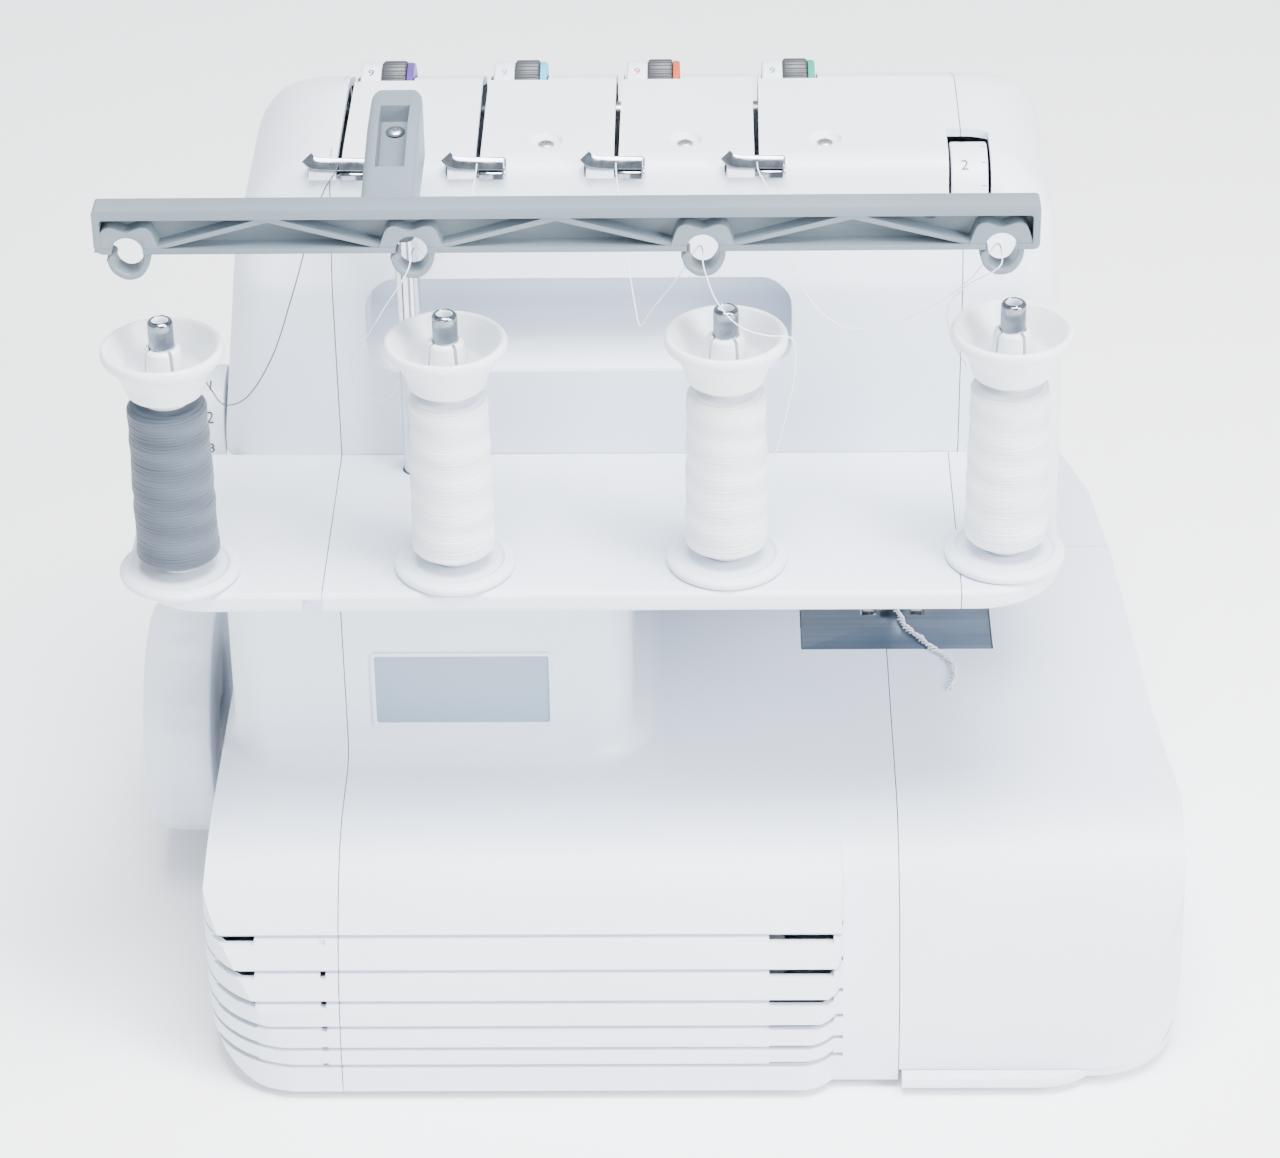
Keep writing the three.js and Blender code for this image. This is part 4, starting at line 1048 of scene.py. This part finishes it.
def make_thread_bar():
    """Moulded channel open to the rear, with zig-zag ribs, a lobe over each hook and hook curls."""
    front, rear = BAR_Y - 4, BAR_Y + 4
    face = [(BAR_LEFT, BAR_LOW, 2), (BAR_RIGHT, BAR_LOW, 3), (BAR_RIGHT, BAR_HIGH, 1.2),
            (BAR_LEFT, BAR_HIGH, 1.2)]
    pocket = [(BAR_LEFT + 2, BAR_LOW + 1.5, 1), (BAR_RIGHT - 2, BAR_LOW + 1.5, 1),
              (BAR_RIGHT - 2, BAR_HIGH - 3.2, 1), (BAR_LEFT + 2, BAR_HIGH - 3.2, 1)]
    bar = prism("thread_bar_moulded", outline(face), "y", front, rear, True)
    cut(bar, prism("channel", outline(pocket), "y", front + 2, rear + 1))
    ribs, lobes, hooks = [], [], []
    for (_, _, hook), (_, _, following) in zip(STATIONS[1:], STATIONS):
        low, high = hook + 8.5, following - 8.5
        middle = (low + high) / 2
        rib = [(low - 3, 278.2), (low + 1, 278.2), (middle, 286.6), (high - 1, 278.2),
               (high + 3, 278.2), (middle, 288.4)]
        ribs.append(prism("rib", rib, "y", front + 1, rear - 0.8))
    for _, _, hook in STATIONS:
        lobe = [(hook - 9.5, 277.5), (hook + 9.5, 277.5), (hook + 6.5, 286.2, 3),
                (hook, 283.6, 3), (hook - 6.5, 286.2, 3)]
        lobes.append(prism("lobe", outline(lobe, 0, 5), "y", front + 1, rear - 0.4))
        curl = smooth_path([
            (hook - 5.6, BAR_Y - 0.2, 278.6), (hook - 5.2, BAR_Y - 0.2, 273.8),
            (hook - 2.8, BAR_Y - 0.2, 270.2), (hook + 0.6, BAR_Y - 0.2, 269.4),
            (hook + 3.8, BAR_Y - 0.2, 271.4), (hook + 5.2, BAR_Y - 0.2, 275.0),
        ], 40)
        hooks.append(swept("hook", curl, outline([
            (-3.6, -1.05, 0.7), (3.6, -1.05, 0.7), (3.6, 1.05, 0.7), (-3.6, 1.05, 0.7),
        ], 0, 4)))
        hooks.append(prism("barb", outline([
            (hook + 3.0, 274.4, 0.8), (hook + 7.0, 273.6, 0.8), (hook + 4.6, 276.8, 0.8),
        ], 0, 4), "y", front + 0.4, rear - 0.6))
    join(bar, *ribs, *lobes)
    for _, _, hook in STATIONS:
        eye = [(0, -9), (4.6, -9), (4.6, 9), (0, 9)]
        cut(bar, turned("eye", eye, "y", (hook, BAR_Y, 277.5), 48))
    join(bar, *hooks)
    oval = prism("oval", outline([
        (-84.5, 284.0, 1.2), (-81.0, 284.0, 1.2), (-81.0, 286.4, 1.2), (-84.5, 286.4, 1.2),
    ], 0, 6), "y", front - 1, rear + 1)
    cut(bar, oval)
    soften(bar, 0.25, 2, 40)
    dress(bar, "mast", BAR, ["thread_bar"])


# ---------------------------------------------------------------- guides, dials and label

TENSION_Y, TENSION_Z, TENSION_RADIUS = -46.0, 249.5, 16.0
PRESSURE_Y, PRESSURE_Z, PRESSURE_RADIUS = 12.0, 250.0, 14.3
LENGTH_Z, LENGTH_RADIUS = 165.0, 16.2
DIGIT_RELIEF = 0.06
LEAF_TILT = math.radians(128)
RING_COLOURS = (
    ("mauve", (0.07, 0.03, 0.22)), ("light_blue", (0.05, 0.38, 0.62)),
    ("orange_red", (0.42, 0.07, 0.02)), ("green", (0.005, 0.26, 0.17)),
)


def dial_digit(name, value, size, x, centre, radius, angle, material, body):
    """Raised numeral standing on a dial about an axis along X.

    It lies at centre + radius (cos angle, sin angle) in (y, z), and faces outwards there.
    """
    place = (x, centre[0] + radius * math.cos(angle), centre[1] + radius * math.sin(angle))
    turn = Matrix.Rotation(angle - QUARTER, 4, "X") @ Matrix.Rotation(math.pi, 4, "Z")
    data = bpy.data.curves.new(name, "FONT")
    data.body = str(value)
    data.size = size * MM
    data.extrude = DIGIT_RELIEF * MM
    data.align_x, data.align_y = "CENTER", "CENTER"
    lettering = bpy.data.objects.new(name, data)
    bpy.context.scene.collection.objects.link(lettering)
    graph = bpy.context.evaluated_depsgraph_get()
    mesh = bpy.data.meshes.new_from_object(lettering.evaluated_get(graph))
    bpy.data.curves.remove(data)
    mesh.transform(Matrix.Translation(Vector(place) * MM) @ turn)
    mesh.name = name
    piece = bpy.data.objects.new(name, mesh)
    bpy.context.scene.collection.objects.link(piece)
    return dress(piece, body, material)


def make_guides():
    """At each slot: a white block on the handwheel side, a chromed plate and its curled leaf."""
    for number, x in enumerate(SLOTS_X, 1):
        base = prism(f"guide_block_{number}", outline([
            (19.6, 260.8, 0.3), (25.7, 260.8, 0.3), (25.1, 263.0, 0.8), (21.8, 266.0, 1.0),
            (19.6, 266.2, 0.3),
        ]), "x", x + 0.7, x + 9.2)
        soften(base, 0.5, 3)
        dress(base, "root", WHITE)
        plate = prism(f"guide_plate_{number}", outline([
            (19.6, 260.8, 0.2), (26.0, 260.8, 0.2), (25.5, 262.6, 0.8), (22.0, 265.4, 1.0),
            (19.6, 265.6, 0.2),
        ]), "x", x - 8.2, x - 0.5)
        soften(plate, 0.25)
        dress(plate, "root", MIRROR, [f"thread_guide_{number}"])
        path = smooth_path([
            (x - 8.0, 24.0, 265.3), (x - 3, 24.0, 265.4), (x + 3.5, 24.0, 265.6),
            (x + 8.0, 23.8, 266.2), (x + 9.6, 23.2, 267.6),
        ], 24)
        flat = outline([
            (-2.0, -0.3, 0.25), (2.0, -0.3, 0.25), (2.0, 0.3, 0.25), (-2.0, 0.3, 0.25),
        ], 0, 3)
        section = np.stack([
            flat[:, 0] * math.cos(LEAF_TILT) - flat[:, 1] * math.sin(LEAF_TILT),
            flat[:, 0] * math.sin(LEAF_TILT) + flat[:, 1] * math.cos(LEAF_TILT),
        ], axis=1)
        leaf = swept(f"guide_leaf_{number}", path, section)
        shade(leaf, 40)
        dress(leaf, "root", MIRROR)
        lip = swept(f"guide_lip_{number}", smooth_path([
            (x - 8.2, 26.2, 261.2), (x - 8.3, 26.0, 263.0), (x - 8.1, 24.8, 264.8),
        ], 12), round_section(0.55, 10))
        dress(lip, "root", CHROME)


def knurled(name, radius, ribs, depth, x0, x1, centre):
    """Grip drum: r = radius - depth (1 + cos(ribs t)) / 2, its edges turned over."""
    segments = ribs * 8
    turn = 2 * math.pi * np.arange(segments) / segments
    sections = []
    for inset, x in ((1.0, x0), (0.3, x0 + 0.25), (0, x0 + 0.8), (0, x1 - 0.8), (0.3, x1 - 0.25),
                     (1.0, x1)):
        reach = radius - inset - depth * (1 + np.cos(ribs * turn)) / 2
        sections.append(np.stack([
            np.full(segments, x), centre[0] + reach * np.cos(turn),
            centre[1] + reach * np.sin(turn),
        ], axis=1))
    return loft(name, sections)


def make_tension_dials():
    """Four wheels in the head: white rim with coloured numbers, dark grip and coloured ring."""
    for number, x in enumerate(SLOTS_X, 1):
        colour_name, colour = RING_COLOURS[number - 1]
        darker = tuple(0.85 * channel for channel in colour)
        colour_plastic = moulded(f"{colour_name}_ring", darker, colour, 0.4)
        middle, body = x - 10.6, f"tension_{number}"
        at = (0, TENSION_Y, TENSION_Z)
        drum = turned(f"tension_drum_{number}", rounded_profile([
            (2.8, middle + 1.8), (TENSION_RADIUS, middle + 1.8, 0.6),
            (TENSION_RADIUS, middle + 8.2, 0.8),
            (14.0, middle + 8.5, 0.5), (2.8, middle + 8.5),
        ]), "x", at, 80)
        dress(drum, body, WHITE, [f"tension_dial_{number}"])
        grip = knurled(
            f"tension_grip_{number}", 16.4, 44, 0.7, middle - 6.2, middle + 1.7,
            (TENSION_Y, TENSION_Z),
        )
        dress(grip, body, DARK)
        band = turned(f"tension_ring_{number}", rounded_profile([
            (2.8, middle - 8.5), (15.7, middle - 8.5, 0.6), (15.9, middle - 6.3, 0.3),
            (2.8, middle - 6.3),
        ]), "x", at, 80)
        dress(band, body, colour_plastic)
        for value in range(10):
            angle = math.radians(76 + 32 * (value - 9))
            dial_digit(
                f"tension_{number}_mark_{value}", value, 4.2, middle + 5.0,
                (TENSION_Y, TENSION_Z), TENSION_RADIUS, angle, colour_plastic, body,
            )


def make_scale_dials():
    """Foot-pressure dial under its window and the stitch-length dial on the handwheel side."""
    at = (0, PRESSURE_Y, PRESSURE_Z)
    drum = turned("pressure_dial_drum", rounded_profile([
        (2.0, -104.6), (PRESSURE_RADIUS, -104.6, 0.7), (PRESSURE_RADIUS, -93.4, 0.7),
        (2.0, -93.4),
    ]), "x", at, 90)
    dress(drum, "pressure_dial", WHITE, ["foot_pressure_dial"])
    for step in range(0, 60, 5):
        angle = math.radians(step * 6)
        ray = np.array((math.cos(angle), math.sin(angle)))
        side = np.array((-ray[1], ray[0])) * 0.11
        low, high = at[1:] + ray * 14.25, at[1:] + ray * 14.36
        flat = np.array([low - side, low + side, high + side, high - side])
        tick = prism(f"pressure_tick_{step}", flat, "x", -104.2, -102.6)
        dress(tick, "pressure_dial", INK)
    for value in range(4):
        angle = math.radians(56 + 60 * (value - 2))
        dial_digit(
            f"pressure_mark_{value}", value, 5.0, -97.5, (PRESSURE_Y, PRESSURE_Z),
            PRESSURE_RADIUS, angle, INK, "pressure_dial",
        )
    dial = turned("length_dial_rim", rounded_profile([
        (3.0, 134.9), (16.0, 134.9, 0.6), (LENGTH_RADIUS, 143.6, 1.4), (13.5, 145.0, 0.8),
        (12.0, 143.6, 0.6), (3.0, 143.4),
    ]), "x", (0, 0, LENGTH_Z), 90)
    dress(dial, "length_dial", WHITE, ["stitch_length_dial"])
    grip = knurled("length_dial_grip", 11.2, 30, 0.7, 143.2, 144.9, (0, LENGTH_Z))
    dress(grip, "length_dial", WHITE)
    for value in range(5):
        angle = math.radians(25 - 38 * (value - 2))
        dial_digit(
            f"length_mark_{value}", value, 5.4, 139.4, (0, LENGTH_Z), LENGTH_RADIUS, angle, INK,
            "length_dial",
        )


def make_handwheel():
    """Handwheel with a rounded rim, a dished face and its hub cap.

    The profile is turned about X; where its radius is past 38.2 mm, 24 shallow finger scallops
    lower it by 0.35 (1 + cos 24 t) / 2.
    """
    segments = 192
    turn = 2 * math.pi * np.arange(segments) / segments
    profile = rounded_profile([
        (6.0, 145.0), (30.0, 145.0, 2.0), (38.4, 144.4, 2.0), (39.5, 147.5, 2.0),
        (39.5, 160.0, 3.0), (37.0, 166.6, 3.0), (33.0, 167.1, 1.5), (29.5, 163.5, 2.0),
        (15.0, 162.0, 3.0), (11.0, 165.5, 2.0), (6.0, 166.0),
    ], 6)
    reach = profile[:, 0][:, None]
    edge = np.clip((reach - 38.2) / 1.2, 0, 1)
    reach = reach - edge * 0.35 * (1 + np.cos(24 * turn[None, :])) / 2
    points = np.stack([
        np.broadcast_to(profile[:, 1][:, None], reach.shape), reach * np.cos(turn)[None, :],
        50 + reach * np.sin(turn)[None, :],
    ], axis=2)
    wheel = ring_sheet("handwheel_rim", points)
    dress(wheel, "drive", WHITE, ["handwheel"])
    hub = turned("handwheel_hub_cap", rounded_profile([
        (0, 160.0), (5.8, 160.0), (5.8, 166.2, 1.0), (3.0, 166.9, 0.8), (0, 167.0),
    ]), "x", (0, 0, 50), 48)
    dress(hub, "drive", PIN)


def make_label():
    """Blank rating plate with its thin printed frame on the rear pillar."""
    plate = prism("blank_label_plate", outline([
        (31.5, 90.5, 0.8), (86.5, 90.5, 0.8), (86.5, 115.5, 0.8), (31.5, 115.5, 0.8),
    ]), "y", 66.8, 67.35)
    soften(plate, 0.12)
    dress(plate, "root", LABEL)
    rim = prism("label_plate_frame", outline([
        (30.4, 89.4, 1.3), (87.6, 89.4, 1.3), (87.6, 116.6, 1.3), (30.4, 116.6, 1.3),
    ]), "y", 66.7, 67.7)
    hole = prism("inside", outline([
        (31.55, 90.55, 0.8), (86.45, 90.55, 0.8), (86.45, 115.45, 0.8), (31.55, 115.45, 0.8),
    ]), "y", 66, 68)
    cut(rim, hole)
    soften(rim, 0.2)
    dress(rim, "root", WHITE)


def make_head_screws():
    """Cross-head screws lying in the four dishes on top of the head."""
    for number, x in enumerate(DISHES_X, 1):
        screw = cross_screw(f"head_screw_{number}", (x, DISH_Y, HEAD_TOP - 1.6), "z", 2.5, 1.0)
        dress(screw, "root", STEEL)


# ---------------------------------------------------------------- pan, plate, inlet and feet

def make_pan():
    """Floor pan with its rounded flange under the needle-side base and the sill for the door."""
    levels = ((3.0, 1.0), (3.3, 0.3), (3.9, 0.0), (6.2, 0.0), (6.8, 0.3), (7.0, 0.9))
    slab = []
    for plan in (BARREL_PLAN, NEEDLE_PLAN):
        part = loft("pan_part", [
            lift(outline(plan, PAN_CLEARANCE if plan is BARREL_PLAN else 1.2 + extra, 12), "z", z)
            for z, extra in levels
        ])
        if plan is BARREL_PLAN:
            keep(
                part, base_side("side_tool", PAN_CLEARANCE),
                block("low", (-300, -300, UNDERSIDE_Z), (300, 300, PAN_FLOOR_Z)),
            )
        slab.append(part)
    flange = loft("pan_flange", [
        lift(outline([
            (-145, 60, 2), (-64, 60, 2), (-64, 143.5, 4), (-145, 143.5, 24),
        ], extra, 12), "z", z) for z, extra in levels
    ])
    needle_end = block("needle_end", (-300, -300, 0), (BASE_SEAM_X - 1, 300, 60))
    join(slab[1], flange)
    low_floor = copy(slab[1], "low_floor")
    keep(slab[1], needle_end)
    keep(
        low_floor, block("low", (-300, -135, UNDERSIDE_Z), (60, 135, PAN_FLOOR_Z)),
        base_side("side_tool", PAN_CLEARANCE),
    )
    pan = join(slab[1], low_floor, slab[0])
    dish = prism("dish", outline(NEEDLE_PLAN, PAN_CLEARANCE + 0.1, 12), "z", PAN_FLOOR_Z, 60)
    cut(pan, keep(dish, block("dish_region", (-300, -136, 5), (SEAM_X, 300, 60))))
    join(pan, block(
        "door_sill", (BASE_SEAM_X - 3, -142.8, UNDERSIDE_Z), (LOOPER_END_X - 1, -140.3, SILL_Z)
    ))
    pan.name = pan.data.name = "base_pan_moulded"
    shade(pan, 30)
    dress(pan, "root", WHITE, ["base_pan"])


def make_needle_plate():
    """Blued plate with rounded edges and slots for needles, feed dog and knife."""
    plate = prism("needle_plate_blued", outline([
        (-112.5, -48, 1.0), (-49.5, -48, 1.0), (-49.5, 4.4, 1.0), (-112.5, 4.4, 1.0),
    ]), "z", 75.2, 77.0)
    soften(plate, 0.3)
    cut(
        plate,
        block("needle_slot", (-84, -43, 70), (-76, -38, 80)),
        block("feed_slot", (-91, -32.5, 70), (-85.5, -16.5, 80)),
        block("feed_slot", (-75, -32.5, 70), (-69.5, -16.5, 80)),
        block("knife_slot", (-67, -49, 70), (-61, -34, 80)),
    )
    shade(plate, 30)
    dress(plate, "root", BLUED, ["needle_plate"])


def make_feet():
    """Four moulded rubber feet with a rounded sole and a dimple."""
    for place in ("front_left", "front_right", "rear_left", "rear_right"):
        low, high = node_box(f"foot_{place}")
        middle = (low + high) / 2
        foot = turned(f"rubber_foot_{place}", rounded_profile([
            (0, 0.5), (3.2, 0.5, 0.3), (4.0, 0.0, 0.3), (8.4, 0.0, 0.6), (9.0, 2.0, 0.4),
            (8.8, 2.7), (0, 2.7),
        ]), "z", (middle[0], middle[1], 0), 64)
        dress(foot, "root", RUBBER, [f"foot_{place}"])


def make_inlet_and_switch():
    """Mains inlet with its socket and two round pins, and the dished rocker switch."""
    body = prism("inlet_body", outline([
        (-65.6, 22.4, 1.5), (-42.4, 22.4, 1.5), (-42.4, 43.6, 1.5), (-65.6, 43.6, 1.5),
    ]), "x", 122.2, 139.5)
    socket = prism("socket", outline([
        (-62, 26, 4), (-46, 26, 4), (-46, 40, 4), (-62, 40, 4),
    ]), "x", 128, 146)
    cut(body, socket)
    soften(body, 0.3)
    dress(body, "root", DARK, ["mains_inlet"])
    for y in (-57.6, -50.4):
        pin = turned("inlet_pin", rounded_profile([
            (0, 127.5), (1.2, 127.5), (1.2, 136.5, 0.8), (0, 137),
        ]), "x", (0, y, 33), 24)
        dress(pin, "root", STEEL)
    rocker = prism("switch_rocker_moulded", outline([
        (130.2, -94.4), (140.3, -94.4, 1.2), (139.0, -86, 14), (140.3, -77.6, 1.2),
        (130.2, -77.6),
    ], 0, 8), "z", 27.6, 38.4)
    soften(rocker, 0.5, 3)
    dress(rocker, "switch_rocker", DARK, ["power_switch"])


def make_chain_tail():
    """Twisted tail of stitched thread chain lying over the plate and the needle-side base.

    Strand k of three turns about the tail's line at angle 1.15 s + 2 pi k / 3, where s is the
    length along it, about 0.75 mm off it, more and less in slow waves.
    """
    line = smooth_path([
        (-80.5, -21.0, 77.9), (-82.5, -15, 78.0), (-84.0, -8, 78.0), (-88.5, -1, 78.0),
        (-92, 5, 78.0), (-97.5, 12, 78.0), (-99.0, 21, 78.0), (-97.0, 30, 78.0),
    ], 220)
    steps = np.linalg.norm(np.diff(line, axis=0), axis=1)
    along = np.concatenate([[0], np.cumsum(steps)])
    ahead = np.gradient(line, axis=0)
    ahead /= np.linalg.norm(ahead, axis=1)[:, None]
    side = np.cross(ahead, (0, 0, 1))
    wander = 1 + 0.35 * np.sin(along * 0.9) + 0.2 * np.sin(along * 2.3)
    for strand in range(3):
        angle = (1.15 * along + 2 * math.pi * strand / 3)[:, None]
        path = line + (0.75 * wander)[:, None] * (
            np.cos(angle) * side + 0.75 * np.sin(angle) * np.array((0, 0, 1))
        )
        piece = swept(f"chain_tail_strand_{strand + 1}", path, round_section(0.3, 8))
        dress(piece, "root", WHITE_YARN)


# ---------------------------------------------------------------- free threads

THREAD_RADIUS = 0.2
THREAD_ROUTES = (
    ((131, 91, 231.5), (128.5, 86, 222), (125.6, 80, 213.5), (120, 71, 211), (113, 62, 219),
     (106.3, 52, 236), (101, 43, 252), (96.5, 34.5, 262.5), (93.6, 29.6, 265.6),
     (93.1, 25.4, 266.1)),
    ((71.5, 97, 231.6), (75.5, 91, 221.5), (81, 85, 218), (86, 82, 222), (86.8, 82, 229),
     (81, 88, 241), (74, 98.5, 257), (68.6, 106.2, 268.5), (66.3, 107, 273.4), (65.8, 101, 275),
     (64.8, 94.8, 273.6), (61, 80, 260), (57, 60, 253), (53.5, 42, 256.5), (51.1, 31, 264.6),
     (50.8, 25.4, 266.1)),
    ((-37.8, 104.5, 206), (-41.5, 106, 222), (-44.4, 106.5, 240), (-43.4, 106, 249),
     (-36, 108, 251.2), (-28, 109, 255), (-21.6, 108.6, 263), (-18.8, 107.6, 270.5),
     (-17.9, 106.8, 273.8), (-17.8, 101, 275), (-16.8, 95, 273.6), (-10, 82, 256),
     (-2, 72, 240), (1.2, 66, 232), (3.2, 57, 237), (5.6, 46, 249), (7.8, 34, 261.5),
     (8.5, 29.4, 265.6), (8.6, 25.4, 266.1)),
    ((-95, 91, 231.5), (-90.2, 88.6, 240), (-89.2, 90, 250), (-94, 98.5, 262),
     (-101, 106, 270.6), (-103, 107, 273.4), (-103.3, 101, 275), (-102.4, 94.8, 273.6),
     (-97, 84, 258), (-88, 74, 244), (-74, 66, 232), (-60, 60, 228), (-50, 54, 234),
     (-44, 46, 246), (-38, 35, 260.5), (-34.6, 29.8, 265.4), (-34.2, 25.4, 266.1)),
)


def make_threads():
    """Free threads from the spools over the bar's hooks to the guides on the head."""
    for number, route in enumerate(THREAD_ROUTES, 1):
        path = smooth_path(route, 200)
        piece = swept(f"free_thread_{number}", path, round_section(THREAD_RADIUS, 8))
        piece.data.materials.append(SLATE_YARN if number == 1 else WHITE_YARN)
        if number == 1:
            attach(piece, "root")
        else:
            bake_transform(piece)
        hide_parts(f"thread_{number}")


# ---------------------------------------------------------------- working parts

def make_needles():
    """Needle bar with its clamp screw and two needles: round shank, tapering blade, point."""
    low, high = node_box("needle_bar")
    bar = turned("needle_bar_polished", rounded_profile([
        (0, low[2]), (3.6, low[2], 0.6), (3.8, low[2] + 11, 0.4), (2.9, low[2] + 11.6, 0.3),
        (2.9, high[2], 0.4), (0, high[2]),
    ]), "z", ((low[0] + high[0]) / 2, (low[1] + high[1]) / 2, 0), 48)
    dress(bar, "needle_carrier", CHROME, ["needle_bar"])
    for side in ("left", "right"):
        low, high = node_box(f"needle_{side}")
        tip = low[2]
        needle = turned(f"needle_{side}_polished", rounded_profile([
            (0, tip), (0.35, tip + 2.2, 0.4), (0.42, tip + 6, 0.5), (0.5, high[2] - 11, 0.6),
            (0.85, high[2] - 9, 0.5), (0.85, high[2]), (0, high[2]),
        ]), "z", ((low[0] + high[0]) / 2, (low[1] + high[1]) / 2, 0), 28)
        dress(needle, "needle_carrier", STEEL, [f"needle_{side}"])


# Node, its body, its finish, its slot and the width its edges are rounded by.
WORKING_PARTS = (
    ("main_shaft", "drive", STEEL, "steel", 0.4),
    ("motor", "root", CAST, "cast", 0.6),
    ("motor_pulley", "motor_rotor", STEEL, "steel", 0.3),
    ("drive_belt", "root", RUBBER, "rubber", 0.3),
    ("machine_frame", "root", CAST, "cast", 0.5),
    ("presser_foot", "presser", CHROME, "chrome", 0.35),
    ("foot_lifter", "lifter", WHITE, "casing", 0.6),
    ("lower_looper", "lower_looper_arm", CHROME, "chrome", 0.3),
    ("upper_looper", "upper_looper_arm", CHROME, "chrome", 0.3),
    ("upper_knife", "knife", STEEL, "steel", 0.15),
    ("feed_dog", "feed", STEEL, "steel", 0.15),
    ("tension_dial_axle", "root", STEEL, "steel", 0.2),
)


def make_working_parts():
    """Frame nodes of the working parts, with their corners merged and their edges rounded."""
    for node, body, finish, slot, edge in WORKING_PARTS:
        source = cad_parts[node]
        mesh = source.data.copy()
        mesh.transform(source.matrix_world)
        piece = bpy.data.objects.new(node + "_finished", mesh)
        mesh.name = piece.name
        bpy.context.scene.collection.objects.link(piece)
        weld = piece.modifiers.new("merged_corners", "WELD")
        weld.merge_threshold = 0.00001
        settle(piece)
        soften(piece, edge, 2, 38)
        dress(piece, body, finish, [node])


# ---------------------------------------------------------------- the whole scene

def make_floor():
    """Plain pale floor."""
    floor = link_mesh("studio_floor", [
        (-4000, -4000, 0), (4000, -4000, 0), (4000, 4000, 0), (-4000, 4000, 0),
    ], [(0, 1, 2, 3)], False)
    surface = Surface("pale_floor", (0.97, 0.98, 1.0), 0.85)
    surface.spread(surface.noise(6), 0.8, 0.9, "Roughness")
    floor.data.materials.append(surface.material)


make_camera()
make_light()
make_floor()
make_threads()
make_casings()
make_pan()
for number, (x, y, _) in enumerate(STATIONS, 1):
    make_spool_stand(number, x, y)
make_mast()
make_thread_bar()
make_guides()
make_tension_dials()
make_scale_dials()
make_handwheel()
make_label()
make_head_screws()
make_needle_plate()
make_feet()
make_inlet_and_switch()
make_chain_tail()
make_needles()
make_working_parts()
